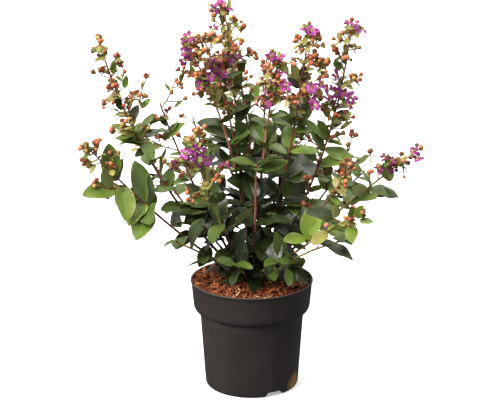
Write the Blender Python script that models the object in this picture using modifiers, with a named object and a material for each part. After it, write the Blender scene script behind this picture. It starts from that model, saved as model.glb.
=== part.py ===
"""A potted crape myrtle: a many-stemmed flowering shrub in a round plastic nursery pot.

Metres, +Z up. The origin is at the middle of the pot's flat underside, and +Y points to the back.
The pot is a turned shell, filled with soil under a layer of bark mulch. A short woody stool stands
in the mulch, and the canes rise from it. The lower stretch of a cane is a bare limb. The rest of it
is one mass: a stem with leaf pairs, side shoots, and a head of bud clusters and blossom, fused.
"""

from bisect import bisect_right
from collections import namedtuple
from math import atan2, cos, pi, radians, sin, tau
from random import Random

import bmesh
import bpy
from mathutils import Matrix, Vector
from mathutils.bvhtree import BVHTree

# Pot: radii and heights of its outer side
POT_HEIGHT = 0.1715
RIM_RADIUS = 0.095
LIP_HEIGHT = 0.0028
LIP_PROUD = 0.0009
BAND_FOOT_RADIUS = 0.0906
BAND_FOOT_HEIGHT = 0.1313
NECK_RADIUS = 0.0806
NECK_HEIGHT = 0.1195
BASE_RADIUS = 0.0728
BASE_ROUND = 0.0045
WALL = 0.0015
FLOOR = 0.0025
POT_SIDES = 32

# Foot recesses of the pot, each with a drain hole in its roof
RECESS_COUNT = 3
RECESS_COMPASS = radians(-60.5)
RECESS_HEIGHT = 0.008
RECESS_FOOT_WIDTH = 0.0337
RECESS_ROOF_WIDTH = 0.0230
RECESS_DEPTH = 0.030
DRAIN_RADIUS = 0.005

# Filling
GAP = 0.0003
SOIL_TOP = 0.150
MULCH_EDGE_HEIGHT = 0.1635
MULCH_CROWN_HEIGHT = 0.1655
MULCH_LUMP = 0.0018
MULCH_RINGS = 4

# Stool: the woody crown that the canes rise from
STOOL_RADIUS = 0.0165
STOOL_TOP = 0.186
STOOL_SIDES = 12
STEEP_SHARE = 0.24
FOOT_RING_LOW = 0.0132
FOOT_RING_HIGH = 0.0078
FOOT_HEIGHT_LOW = 0.1705
FOOT_HEIGHT_HIGH = 0.177

# Canes and twigs
CANE_FOOT_RADIUS = 0.0023
CANE_TIP_RADIUS = 0.0013
SHOOT_RADIUS = 0.0007
BRANCH_RADIUS = 0.0006
STEM_STEP = 0.050
SHORT_STEP = 0.006
LEAF_TRIES = 7

# Leaves, buds and blossom
NODE_GAP = 0.045
LEAF_WIDTH_SHARE = 0.54
LEAF_THICKNESS = 0.0014
LEAF_SINK = 0.0007
HAIR = 0.00025
BIG_LEAF = 0.032
SHOOT_LENGTH = 0.055
SHOOT_CHANCE = 0.35
HEAD_GAP = 0.032
HEAD_SPREAD = 0.22
ARM_MAX = 0.033
BRACT_LENGTH = 0.025
BRACT_SHARE = 0.5
BUD_RADIUS = 0.0092
BUD_POINT = 0.75
BLOOM_RADIUS = 0.0125
CLEARANCE = 0.0005
WELD = 0.000002
FUSE_TRIES = 12

UP = Vector((0, 0, 1))

# Where each cane goes. The compass is in degrees, 0 to the right and 90 to the back. The reach and the
# top are those of its tip, and the bow is how far its knee lies out from the straight line, as a share
# of its length. Below bare it is a limb. The head is the length of its flower head. A bloom is a place
# in the head that is in flower: its share of the head's length and its compass.
Cane = namedtuple("Cane", "name compass reach top bow bare head leaf seed blooms")
CANES = (
    Cane("right_low", 6, 0.253, 0.368, -0.02, 0.085, 0.050, 0.052, 221, ((1.0, 0), (0.5, 180))),
    Cane("right_mid", 19, 0.190, 0.330, -0.02, 0.070, 0.000, 0.046, 201, ()),
    Cane("back_right_far", 34, 0.200, 0.345, 0.03, 0.075, 0.045, 0.054, 208, ((0.8, 40),)),
    Cane("back_right", 55, 0.150, 0.470, 0.04, 0.070, 0.075, 0.056, 272, ((0.9, 60), (0.4, 20))),
    Cane("back_right_mid", 74, 0.085, 0.510, 0.02, 0.060, 0.080, 0.056, 173, ((0.8, 80), (0.3, 0))),
    Cane("back_left_mid", 108, 0.110, 0.520, 0.02, 0.060, 0.090, 0.056, 337, ((0.9, 100), (0.4, 200))),
    Cane("back_left", 130, 0.165, 0.440, 0.04, 0.070, 0.065, 0.058, 369, ((0.8, 120),)),
    Cane("back_left_far", 152, 0.215, 0.375, 0.03, 0.075, 0.045, 0.056, 213, ((0.9, 150),)),
    Cane("inner_left", 168, 0.150, 0.462, 0.06, 0.070, 0.020, 0.046, 226, ()),
    Cane("left_centre", 176, 0.095, 0.406, 0.05, 0.060, 0.035, 0.056, 232, ()),
    Cane("high_left", 180, 0.226, 0.538, 0.13, 0.080, 0.150, 0.056, 297, ()),
    Cane("low_left", 194, 0.246, 0.392, 0.06, 0.090, 0.055, 0.066, 265, ()),
    Cane("left_crown", 211, 0.106, 0.545, -0.12, 0.070, 0.100, 0.056, 420,
         ((0.75, 190), (0.5, 200), (0.5, 170), (0.2, 10))),
    Cane("mid_crown", 188, 0.076, 0.560, -0.10, 0.070, 0.070, 0.054, 273, ((0.9, 190), (0.4, 200))),
    Cane("low_left_front", 212, 0.150, 0.262, -0.06, 0.060, 0.000, 0.054, 358, ()),
    Cane("front_left", 236, 0.148, 0.405, 0.04, 0.070, 0.070, 0.050, 220,
         ((1.0, 0), (0.7, 0), (0.4, 180), (0.6, 200))),
    Cane("skirt_left", 252, 0.085, 0.222, -0.05, 0.000, 0.000, 0.046, 306, ()),
    Cane("heart_front", 276, 0.060, 0.370, 0.05, 0.000, 0.000, 0.062, 340, ()),
    Cane("skirt_right", 296, 0.085, 0.226, -0.05, 0.000, 0.000, 0.048, 398, ()),
    Cane("front_right", 318, 0.205, 0.318, -0.03, 0.075, 0.030, 0.056, 318, ()),
    Cane("low_right_front", 332, 0.152, 0.256, -0.08, 0.065, 0.000, 0.056, 431, ()),
    Cane("upper_middle", 318, 0.048, 0.508, -0.05, 0.065, 0.085, 0.054, 447,
         ((1.0, 180), (0.8, 0), (0.5, 0), (0.3, 200), (0.0, 190))),
    Cane("centre_right", 340, 0.088, 0.563, 0.05, 0.070, 0.125, 0.056, 355, ((1.0, 0), (0.3, 20))),
    Cane("right_branch", 346, 0.150, 0.352, 0.03, 0.065, 0.035, 0.056, 231, ()),
    Cane("right", 0, 0.147, 0.563, 0.12, 0.075, 0.165, 0.054, 241,
         ((1.0, 0), (0.95, 180), (0.9, 0), (0.4, 200), (0.3, 180), (0.25, 0), (0.3, 300))),
    Cane("tall_centre", 172, 0.044, 0.592, -0.10, 0.070, 0.165, 0.058, 203,
         ((1.0, 180), (0.95, 0), (0.55, 180), (0.35, 200), (0.3, 330), (0.3, 180))),
)

Colour = namedtuple("Colour", "rgb roughness")
COLOURS = {
    "pot_plastic": Colour((0.030, 0.028, 0.028), 0.45),
    "soil": Colour((0.035, 0.020, 0.013), 0.95),
    "bark_mulch": Colour((0.26, 0.075, 0.022), 0.9),
    "bark": Colour((0.16, 0.070, 0.042), 0.8),
    "leaf": Colour((0.055, 0.135, 0.022), 0.45),
}


class Line:
    """A line of straight stretches from a foot past a knee to a tip, read by the distance along it."""

    def __init__(self, foot, knee, tip, steps):
        self.foot, self.knee, self.tip, self.steps = foot, knee, tip, steps
        self.marks = [self.bezier(i / steps) for i in range(steps + 1)]
        self.runs = [0.0]
        for a, b in zip(self.marks, self.marks[1:]):
            self.runs.append(self.runs[-1] + (b - a).length)
        self.length = self.runs[-1]

    def bezier(self, t):
        return self.foot * (1 - t) ** 2 + self.knee * 2 * t * (1 - t) + self.tip * t**2

    def at(self, distance):
        """The point and the heading at a distance from the foot."""
        distance = min(max(distance, 0.0), self.length)
        i = min(bisect_right(self.runs, distance), self.steps) - 1
        share = (distance - self.runs[i]) / (self.runs[i + 1] - self.runs[i])
        t = (i + share) / self.steps
        heading = (self.knee - self.foot) * (1 - t) + (self.tip - self.knee) * t
        return self.marks[i].lerp(self.marks[i + 1], share), heading.normalized()

    def stops(self, start, end):
        """The distances of the bends from start to end, with both ends."""
        inner = [run for run in self.runs if start + SHORT_STEP < run < end - SHORT_STEP]
        return [start, *inner, end]


class Piece:
    """One twig, leaf, bud cluster or bloom, with the piece that holds it and the sizes to try in turn.

    Low ranks claim their space first.
    """

    def __init__(self, kind, rank, holder, *tries):
        self.kind, self.rank, self.holder, self.tries = kind, rank, holder, tries
        self.sizes = tries[0]
        self.kept = False


def polar(radius, compass, height):
    return Vector((radius * cos(compass), radius * sin(compass), height))


def cane_feet():
    """Where each cane stands. The steep ones stand high on the stool, and the others low round them."""
    feet = {}
    rings = ((True, FOOT_RING_HIGH, FOOT_HEIGHT_HIGH), (False, FOOT_RING_LOW, FOOT_HEIGHT_LOW))
    for steep, radius, height in rings:
        ring = [cane for cane in CANES if (cane.reach < cane.top * STEEP_SHARE) == steep]
        ring.sort(key=lambda cane: cane.compass)
        spacing = 360 / len(ring)
        lead = sum(cane.compass - spacing * number for number, cane in enumerate(ring)) / len(ring)
        for number, cane in enumerate(ring):
            feet[cane.name] = polar(radius, radians(lead + spacing * number), height)
    return feet


def cane_line(cane, foot):
    """The line of a cane, from its foot on the stool to its tip."""
    tip = polar(cane.reach, radians(cane.compass), cane.top)
    chord = tip - foot
    out = polar(1, radians(cane.compass), 0)
    out = (out - chord * out.dot(chord) / chord.length_squared).normalized()
    knee = (foot + tip) / 2 + out * cane.bow * chord.length
    return Line(foot, knee, tip, round(chord.length / STEM_STEP))


def cane_radius(line, distance):
    return CANE_FOOT_RADIUS + (CANE_TIP_RADIUS - CANE_FOOT_RADIUS) * min(distance / line.length, 1)


def side_way(heading, roll):
    """The way out of a stem at right angles to it: level at roll 0, and turned round the stem by roll."""
    level = heading.cross(UP)
    level = level.normalized() if level.length > 0.05 else Vector((1, 0, 0))
    level = (level - heading * level.dot(heading)).normalized()
    return Matrix.Rotation(roll, 3, heading) @ level


def leaf(draw, rank, holder, point, heading, roll, length):
    """A leaf that stands out of a stem, its upper face to the light. Later tries turn it and are smaller."""
    tries = []
    for number in range(LEAF_TRIES):
        spread = radians(draw.gauss(58, 9))
        sag = draw.uniform(0.0, 0.32)
        turn = roll + draw.gauss(0, 0.05 + 0.3 * number)
        along = side_way(heading, turn) * sin(spread) + heading * cos(spread) - UP * sag
        along.normalize()
        light = Vector((draw.gauss(0, 0.36), draw.gauss(-0.22, 0.36), 1)) + heading * 0.35
        face = (light - along * light.dot(along)).normalized()
        size = length * (1 - 0.08 * number)
        width = size * LEAF_WIDTH_SHARE * draw.uniform(0.85, 1.18)
        curl = draw.uniform(0.02, 0.13)
        fold = draw.uniform(0.05, 0.35)
        root = shifted(draw, point)
        tries.append(dict(root=root, along=along, face=face, length=size, width=width, curl=curl, fold=fold))
    return Piece("leaf", rank, holder, *tries)


def shifted(draw, point):
    """A point moved by a hair, so that no two edges meet exactly."""
    return point + Vector([draw.gauss(0, HAIR) for _ in range(3)])


def bud_twig(draw, holder, start, heading, length, radius, lift, steps, size):
    """A side twig that starts on its holder's middle line, turns up by lift, and swells to a bud cluster."""
    start = shifted(draw, start)
    knee = start + heading * length / 2
    line = Line(start, knee, knee + (heading + UP * lift).normalized() * length / 2, steps)
    buds = BUD_RADIUS * size * draw.uniform(0.88, 1.12)
    return Piece("twig", 1, holder, dict(line=line, radius=radius, buds=buds))


def bloom(draw, arm, compass):
    """A flower beside the bud cluster of a twig."""
    tip, heading = arm.sizes["line"].at(arm.sizes["line"].length)
    way = (heading * 0.5 + polar(1, compass, 0.55).normalized()).normalized()
    radius = BLOOM_RADIUS * draw.uniform(0.9, 1.15)
    centre = tip + heading * arm.sizes["buds"] * 0.6 + way * radius * 0.35
    return Piece("bloom", 1, arm, dict(centre=centre, along=way, radius=radius, roll=draw.uniform(0, tau)))


def leaf_pairs(cane, line, stem, pieces):
    """The leaf pairs of a cane below its head, and the side shoots of the upper ones."""
    draw = Random(cane.seed)
    last = line.length - cane.head
    distance = cane.bare + 0.012
    number = 0
    while distance < last + 0.002:
        node = Random(cane.seed * 100 + number)
        point, heading = line.at(distance)
        roll = (number % 2) * radians(50 + 40 * heading.z) + node.gauss(0, 0.22)
        share = (distance - cane.bare) / max(last - cane.bare, 0.01)
        length = cane.leaf * (1.04 - 0.30 * share**2) * node.uniform(0.86, 1.14)
        for side in (0, pi):
            here = point + heading * node.uniform(-0.004, 0.004)
            pieces.append(leaf(node, 3, stem, here, heading, roll + side, length * node.uniform(0.9, 1.1)))
        if share > 0.45 and cane.head and node.random() < SHOOT_CHANCE:
            shoot(node, stem, point, heading, roll + node.choice((0, pi)) + 0.5, pieces)
        distance += NODE_GAP * draw.uniform(0.86, 1.16)
        number += 1
    if not cane.head:
        point, heading = line.at(line.length - 0.002)
        for side in (0, pi):
            pieces.append(leaf(draw, 3, stem, point, heading, side, cane.leaf * 0.7))


def shoot(draw, stem, point, heading, roll, pieces):
    """A side shoot: a twig with a small leaf and a bud cluster."""
    spread = radians(draw.uniform(38, 58))
    way = side_way(heading, roll) * sin(spread) + heading * cos(spread)
    length = SHOOT_LENGTH * draw.uniform(0.65, 1.15)
    arm = bud_twig(draw, stem, point, way, length, SHOOT_RADIUS, 0.5, 2, 1.0)
    pieces.append(arm)
    middle, along = arm.sizes["line"].at(length * 0.55)
    size = BRACT_LENGTH * draw.uniform(1.3, 1.8)
    pieces.append(leaf(draw, 4, arm, middle, along, roll + draw.choice((0.4, 2.6)), size))


def flower_head(cane, line, stem, pieces):
    """The head: twigs in pairs, shorter to the tip, each with a bud cluster, and bracts in its lower part."""
    draw = Random(cane.seed + 5000)
    arms = []
    distance = line.length - cane.head + 0.008
    number = 0
    while distance < line.length - 0.012:
        node = Random(cane.seed * 100 + 50 + number)
        point, heading = line.at(distance)
        share = 1 - (line.length - distance) / cane.head
        roll = number * pi / 2 + node.gauss(0.3, 0.25)
        for side in (0, pi):
            spread = radians(node.uniform(48, 66))
            way = side_way(heading, roll + side) * sin(spread) + heading * cos(spread)
            length = (cane.head * HEAD_SPREAD * (1 - share) ** 0.8 + 0.009) * node.uniform(0.75, 1.15)
            start = point + heading * node.uniform(-0.002, 0.002)
            size = 1.05 - 0.25 * share
            arm = bud_twig(node, stem, start, way, min(length, ARM_MAX), BRANCH_RADIUS, 0.35, 1, size)
            pieces.append(arm)
            arms.append((arm, node))
        if share < BRACT_SHARE:
            size = BRACT_LENGTH * (1.35 - 0.7 * share) * node.uniform(0.8, 1.2)
            pieces.append(leaf(node, 4, stem, point, heading, roll + node.choice((0.6, -0.6, 2.4)), size))
        distance += HEAD_GAP * draw.uniform(0.85, 1.15)
        number += 1
    point, heading = line.at(line.length - 0.004)
    tip = bud_twig(draw, stem, point, heading, 0.007, BRANCH_RADIUS, 0.1, 1, 1.0)
    pieces.append(tip)
    arms.append((tip, draw))
    for compass, (arm, node) in nearest_arms(cane, line, arms):
        pieces.append(bloom(node, arm, compass))


def nearest_arms(cane, line, arms):
    """For each bloom, its compass and the head's free twig whose end is nearest to its place."""
    free = list(arms)
    for share, compass in cane.blooms[:len(arms)]:
        compass = radians(compass)
        middle = line.at(line.length - cane.head * (1 - share))[0]
        place = middle + polar(0.03 * (1.2 - share), compass, 0.01)
        nearest = min(free, key=lambda pair: (pair[0].sizes["line"].tip - place).length)
        free.remove(nearest)
        yield compass, nearest


def grow(cane, foot):
    """A cane's line, and the pieces of its mass. The first piece is its stem."""
    line = cane_line(cane, foot)
    stem = Piece("stem", 0, None, dict(line=line, start=cane.bare + (GAP if cane.bare else 0.0)))
    pieces = [stem]
    leaf_pairs(cane, line, stem, pieces)
    if cane.head:
        flower_head(cane, line, stem, pieces)
    return line, pieces


def turned(along, face, centre):
    """The placing matrix of a shape that is modelled with its length on X and its face up."""
    side = face.cross(along)
    placing = Matrix((along, side, face)).transposed().to_4x4()
    placing.translation = centre
    return placing


def finished_mesh(name, shape):
    """The mesh of a closed shape, its faces turned outwards."""
    mesh = bpy.data.meshes.new(name)
    shape.normal_update()
    bmesh.ops.recalc_face_normals(shape, faces=shape.faces)
    if shape.calc_volume(signed=True) < 0:
        bmesh.ops.reverse_faces(shape, faces=shape.faces)
    shape.to_mesh(mesh)
    shape.free()
    return mesh


def ringed(name, rings, sides, pointed):
    """A closed tube through rings, each a point, a heading and a radius. Pointed draws its end to a tip."""
    shape = bmesh.new()
    bmesh.ops.create_cone(shape, cap_ends=True, segments=sides, radius1=1, radius2=1, depth=1)
    face = max(shape.faces, key=lambda f: f.calc_center_median().z)
    ring = [v for v in shape.verts if v.co.z < 0]
    across = side_way(rings[0][1], 0)
    for i, (point, heading, radius) in enumerate(rings):
        if i > 1:
            face = bmesh.ops.extrude_discrete_faces(shape, faces=[face])["faces"][0]
        if i:
            ring = list(face.verts)
        if i < 2:
            corners = [Vector((v.co.x, v.co.y, 0)) for v in ring]
        across = (across - heading * across.dot(heading)).normalized()
        placing = turned(across, heading, point)
        for vertex, corner in zip(ring, corners):
            vertex.co = placing @ (corner * radius)
    if pointed:
        point, heading, radius = rings[-1]
        face = bmesh.ops.extrude_discrete_faces(shape, faces=[face])["faces"][0]
        bmesh.ops.pointmerge(shape, verts=list(face.verts), merge_co=point + heading * radius * BUD_POINT)
    return finished_mesh(name, shape)


def stem_mesh(name, sizes):
    line, start = sizes["line"], sizes["start"]
    rings = [(*line.at(d), cane_radius(line, d)) for d in line.stops(start, line.length)]
    return ringed(name, rings, 3, False)


def twig_mesh(name, sizes):
    """A thin three-sided twig that swells to the corners of its bud cluster, and ends in a point."""
    line, radius, buds = sizes["line"], sizes["radius"], sizes["buds"]
    rings = [(*line.at(d), radius * (1 - 0.3 * d / line.length)) for d in line.stops(0.0, line.length)]
    tip, heading = line.at(line.length)
    rings.append((tip + heading * buds * 0.9, heading, buds))
    return ringed(name, rings, 4, True)


def leaf_blade(name, sizes):
    """A leaf: a flat ball of few sides, drawn out to a pointed oval with a folded, curling midrib."""
    shape = bmesh.new()
    length, width = sizes["length"], sizes["width"]
    sides = 6 if length > BIG_LEAF else 4
    bmesh.ops.create_uvsphere(shape, u_segments=sides, v_segments=2, radius=1)
    for vertex in shape.verts:
        y, x, z = vertex.co
        share = 0.46 + x * 0.36 if abs(y) > 0.1 else 0.5 + x / 2
        narrow = 1.12 if x < 0.2 else 0.92
        bend = sizes["curl"] * length * share**2
        fold = abs(y) * width / 2 * sizes["fold"]
        height = fold - bend + z * LEAF_THICKNESS / 2
        vertex.co = Vector((share * length - LEAF_SINK, y * width / 2 * narrow, height))
    shape.transform(turned(sizes["along"], sizes["face"], sizes["root"]))
    return finished_mesh(name, shape)


def bloom_star(name, sizes):
    """A crumpled flower: a flat ball of petals, every second corner drawn in."""
    shape = bmesh.new()
    bmesh.ops.create_uvsphere(shape, u_segments=8, v_segments=2, radius=1)
    radius, along = sizes["radius"], sizes["along"]
    rim = sorted((v for v in shape.verts if abs(v.co.z) < 0.5), key=lambda v: atan2(v.co.y, v.co.x))
    for i, vertex in enumerate(rim):
        vertex.co *= radius * (1.0 if i % 2 else 0.62)
        vertex.co.z = radius * (0.22 if i % 2 else 0.05)
    for vertex in shape.verts:
        if vertex not in rim:
            vertex.co.z *= radius * (0.30 if vertex.co.z > 0 else 0.42)
    shape.transform(turned(side_way(along, sizes["roll"]), along, sizes["centre"]))
    return finished_mesh(name, shape)


MAKERS = {"stem": stem_mesh, "twig": twig_mesh, "leaf": leaf_blade, "bloom": bloom_star}


class Claim:
    """The space that a shape takes: its own surface, and a ball round it for a quick first test."""

    def __init__(self, mesh, owner):
        self.owner = owner
        self.points = [v.co.copy() for v in mesh.vertices]
        self.tree = BVHTree.FromPolygons(self.points, [tuple(p.vertices) for p in mesh.polygons])
        self.centre = sum(self.points, Vector()) / len(self.points)
        self.reach = max((p - self.centre).length for p in self.points)

    def near(self, other):
        """Whether the other shape comes closer than the clearance."""
        if (self.centre - other.centre).length > self.reach + other.reach + CLEARANCE:
            return False
        if self.tree.overlap(other.tree):
            return True
        for a, b in ((self, other), (other, self)):
            if any(b.tree.find_nearest(p, CLEARANCE)[0] is not None for p in a.points):
                return True
        return False


def material(name):
    made = bpy.data.materials.new(name)
    made.use_nodes = True
    finish = made.node_tree.nodes["Principled BSDF"]
    colour = COLOURS[name]
    finish.inputs["Base Color"].default_value = (*colour.rgb, 1)
    finish.inputs["Roughness"].default_value = colour.roughness
    finish.inputs["Metallic"].default_value = 0.0
    return made


def placed(name, data, collection, finish=None):
    made = bpy.data.objects.new(name, data)
    collection.objects.link(made)
    if finish:
        data.materials.append(finish)
    return made


def as_cutter(made):
    made.hide_render = True
    made.display_type = "WIRE"
    return made


def joined(target, operation, other, solver="EXACT"):
    """Applies one Boolean of an object, or of all in a collection, to the target."""
    step = target.modifiers.new(operation.lower(), "BOOLEAN")
    step.operation = operation
    step.solver = solver
    if isinstance(other, bpy.types.Collection):
        step.operand_type = "COLLECTION"
        step.collection = other
    else:
        step.object = other
    apply_modifiers(target)


def apply_modifiers(target):
    bpy.context.view_layer.update()
    graph = bpy.context.evaluated_depsgraph_get()
    baked = bpy.data.meshes.new_from_object(target.evaluated_get(graph))
    target.modifiers.clear()
    old = target.data
    target.data = baked
    bpy.data.meshes.remove(old)


def screwed(name, profile, collection, sides, finish=None):
    """A turned shape. The profile is radius and height, from the axis, down the outer side, to the axis."""
    mesh = bpy.data.meshes.new(name)
    edges = [(i, i + 1) for i in range(len(profile) - 1)]
    mesh.from_pydata([(r, 0, z) for r, z in profile], edges, [])
    made = placed(name, mesh, collection, finish)
    screw = made.modifiers.new("turn", "SCREW")
    screw.steps = screw.render_steps = sides
    screw.use_merge_vertices = True
    screw.merge_threshold = 0.00005
    return made


def outer_profile():
    """The outer side of the pot, from the rim down to the middle of its underside."""
    band_top = POT_HEIGHT - LIP_HEIGHT
    return [
        (RIM_RADIUS - 0.0003, POT_HEIGHT),
        (RIM_RADIUS, band_top),
        (RIM_RADIUS - LIP_PROUD, band_top - 0.0008),
        (BAND_FOOT_RADIUS, BAND_FOOT_HEIGHT),
        (BAND_FOOT_RADIUS - 0.0012, BAND_FOOT_HEIGHT - 0.0030),
        (NECK_RADIUS, NECK_HEIGHT),
        (BASE_RADIUS, BASE_ROUND),
        (BASE_RADIUS - 0.3 * BASE_ROUND, 0.3 * BASE_ROUND),
        (BASE_RADIUS - BASE_ROUND, 0),
        (0, 0),
    ]


def inner_profile(shrink, top):
    """The inside of the pot up to a height, drawn in by shrink, from the floor up."""
    slope = (RIM_RADIUS - LIP_PROUD - BAND_FOOT_RADIUS) / (POT_HEIGHT - BAND_FOOT_HEIGHT)
    low = FLOOR + shrink
    inset = WALL + shrink
    foot = BAND_FOOT_RADIUS - inset - 0.0006
    return [
        (0, low),
        (BASE_RADIUS - inset - 0.002, low),
        (NECK_RADIUS - inset, NECK_HEIGHT + 0.0008),
        (foot, BAND_FOOT_HEIGHT + 0.0008),
        (foot + slope * (top - BAND_FOOT_HEIGHT), top),
    ]


def recess_blocks(name, grow_by, floor, depth, collection):
    """A block for each foot recess: wide at its foot, narrow at its roof, and open to the outside."""
    shape = bmesh.new()
    slope = (RECESS_FOOT_WIDTH - RECESS_ROOF_WIDTH) / 2 / RECESS_HEIGHT
    inner, outer = BASE_RADIUS - depth - grow_by, BASE_RADIUS + 0.020
    for number in range(RECESS_COUNT):
        made = bmesh.ops.create_cube(shape, size=1)["verts"]
        spin = Matrix.Rotation(RECESS_COMPASS + tau * number / RECESS_COUNT, 3, "Z")
        for vertex in made:
            x, y, z = vertex.co
            height = RECESS_HEIGHT + grow_by if z > 0 else floor
            half = RECESS_FOOT_WIDTH / 2 + grow_by - slope * min(height, RECESS_HEIGHT)
            vertex.co = spin @ Vector((outer if x > 0 else inner, half if y > 0 else -half, height))
    return as_cutter(placed(name, finished_mesh(name, shape), collection))


def drain_cutter(collection):
    shape = bmesh.new()
    for number in range(RECESS_COUNT):
        made = bmesh.ops.create_cone(
            shape, cap_ends=True, segments=16, radius1=DRAIN_RADIUS, radius2=DRAIN_RADIUS, depth=0.008)["verts"]
        middle = polar(BASE_RADIUS - RECESS_DEPTH / 2, RECESS_COMPASS + tau * number / RECESS_COUNT, 0)
        middle.z = RECESS_HEIGHT + WALL / 2
        bmesh.ops.translate(shape, vec=middle, verts=made)
    return as_cutter(placed("drain_cutter", finished_mesh("drain_cutter", shape), collection))


def build_pot(parts, cutters, finish):
    profile = inner_profile(0.0, POT_HEIGHT) + outer_profile()
    pot = screwed("pot", profile, parts, POT_SIDES, finish)
    apply_modifiers(pot)
    covers = recess_blocks("recess_covers", WALL, FLOOR / 2, RECESS_DEPTH, cutters)
    trimmed = [(r - WALL / 2 if r else 0, z) for r, z in outer_profile()]
    trimmed = [(0, POT_HEIGHT)] + trimmed[:-2] + [(trimmed[-2][0], 0.0005), (0, 0.0005)]
    core = as_cutter(screwed("pot_core", trimmed, cutters, POT_SIDES))
    joined(covers, "INTERSECT", core)
    joined(pot, "UNION", covers)
    joined(pot, "DIFFERENCE", recess_blocks("recess_cutter", 0.0, -0.004, RECESS_DEPTH, cutters))
    joined(pot, "DIFFERENCE", drain_cutter(cutters))
    return pot


def build_soil(parts, cutters, finish):
    profile = [(0, SOIL_TOP)] + inner_profile(GAP, SOIL_TOP)[::-1]
    soil = screwed("soil", profile, parts, POT_SIDES, finish)
    apply_modifiers(soil)
    joined(soil, "DIFFERENCE", recess_blocks("soil_cutter", WALL + GAP, -0.004, RECESS_DEPTH, cutters))
    return soil


def build_mulch(parts, finish):
    """A ring of bark mulch on the soil, round the stool, with a lumpy top."""
    low = SOIL_TOP + GAP
    outer = inner_profile(GAP, MULCH_EDGE_HEIGHT)[-1][0]
    foot = inner_profile(GAP, low)[-1][0]
    inner = STOOL_RADIUS + 2 * GAP
    profile = [(inner, low), (inner, MULCH_CROWN_HEIGHT)]
    for i in range(1, MULCH_RINGS + 1):
        share = i / MULCH_RINGS
        height = MULCH_CROWN_HEIGHT + (MULCH_EDGE_HEIGHT - MULCH_CROWN_HEIGHT) * share**2
        profile.append((inner + (outer - inner) * share, height))
    profile += [(foot, low), (inner, low)]
    mulch = screwed("bark_mulch", profile, parts, POT_SIDES, finish)
    apply_modifiers(mulch)
    draw = Random(7)
    for vertex in mulch.data.vertices:
        if vertex.co.z > low + 0.002:
            vertex.co.z += draw.uniform(-MULCH_LUMP, MULCH_LUMP)
    shape = bmesh.new()
    shape.from_mesh(mulch.data)
    bmesh.ops.remove_doubles(shape, verts=shape.verts, dist=0.00002)
    bmesh.ops.triangulate(shape, faces=shape.faces)
    shape.to_mesh(mulch.data)
    shape.free()
    return mulch


def stool_profile(grow_by):
    """The stool, flat underneath, flared at its foot and domed on top."""
    low = SOIL_TOP + GAP - (0.01 if grow_by > GAP / 2 else 0)
    shares = ((1.0, 0.0), (0.93, 0.30), (0.86, 0.58), (0.66, 0.82), (0.34, 0.96))
    side = [(STOOL_RADIUS * r + grow_by, SOIL_TOP + GAP + (STOOL_TOP - SOIL_TOP) * z) for r, z in shares]
    side[0] = (side[0][0], low)
    return [(0, STOOL_TOP + GAP + grow_by)] + side[::-1] + [(0, low)]


def build_limbs(parts, cutters, lines, finish):
    """The bare foot of each cane: a tapering tube, cut clear of the stool."""
    stool_room = as_cutter(screwed("stool_room", stool_profile(GAP), cutters, STOOL_SIDES))
    limbs = {}
    for cane, line in zip(CANES, lines):
        if not cane.bare:
            continue
        curve = bpy.data.curves.new("cane_" + cane.name, "CURVE")
        curve.dimensions = "3D"
        curve.bevel_depth = 1.0
        curve.bevel_resolution = 0
        curve.use_fill_caps = True
        spline = curve.splines.new("POLY")
        stops = line.stops(0.0, cane.bare)
        spline.points.add(len(stops) - 1)
        for point, distance in zip(spline.points, stops):
            point.co = (*line.at(distance)[0], 1)
            point.radius = cane_radius(line, distance)
        guide = placed("guide_" + cane.name, curve, cutters)
        bpy.context.view_layer.update()
        mesh = bpy.data.meshes.new_from_object(guide.evaluated_get(bpy.context.evaluated_depsgraph_get()))
        bpy.data.objects.remove(guide)
        shape = bmesh.new()
        shape.from_mesh(mesh)
        bmesh.ops.remove_doubles(shape, verts=shape.verts, dist=0.00001)
        bmesh.ops.recalc_face_normals(shape, faces=shape.faces)
        shape.to_mesh(mesh)
        shape.free()
        limb = placed("cane_" + cane.name, mesh, parts, finish)
        joined(limb, "DIFFERENCE", stool_room)
        largest_body(limb)
        limbs[cane.name] = limb
    return limbs, stool_room


def claim_space(grown, claims):
    """Keeps each piece that is clear of every other mass and limb, low ranks first. Returns the meshes."""
    meshes = {}
    for rank in range(5):
        for cane, (_, pieces) in zip(CANES, grown):
            rivals = [claim for claim in claims if claim.owner != cane.name]
            for number, piece in enumerate(pieces):
                if piece.rank != rank or (piece.holder and not piece.holder.kept):
                    continue
                mesh = fitting_mesh(piece, f"{cane.name}_{number}", rivals)
                if mesh:
                    claims.append(Claim(mesh, cane.name))
                    meshes[cane.name, number] = mesh
    return meshes


def fitting_mesh(piece, name, rivals):
    """The mesh of the piece's first try that is clear of its rivals. A stem is always kept."""
    for sizes in piece.tries:
        piece.sizes = sizes
        mesh = MAKERS[piece.kind](name, sizes)
        claim = Claim(mesh, name)
        if piece.kind == "stem" or not any(claim.near(rival) for rival in rivals):
            piece.kept = True
            return mesh
        bpy.data.meshes.remove(mesh)
    return None


def largest_body(target):
    """Drops loose scraps and sealed hollows, so that one closed body is left."""
    shape = bmesh.new()
    shape.from_mesh(target.data)
    shape.verts.ensure_lookup_table()
    seen, bodies = set(), []
    for first in shape.verts:
        if first in seen:
            continue
        body, open_ends = {first}, [first]
        while open_ends:
            for edge in open_ends.pop().link_edges:
                for vertex in edge.verts:
                    if vertex not in body:
                        body.add(vertex)
                        open_ends.append(vertex)
        seen |= body
        bodies.append(body)
    bodies.sort(key=len)
    loose = [v for body in bodies[:-1] for v in body]
    bmesh.ops.delete(shape, geom=loose, context="VERTS")
    shape.to_mesh(target.data)
    shape.free()
    return len(bodies)


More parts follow.
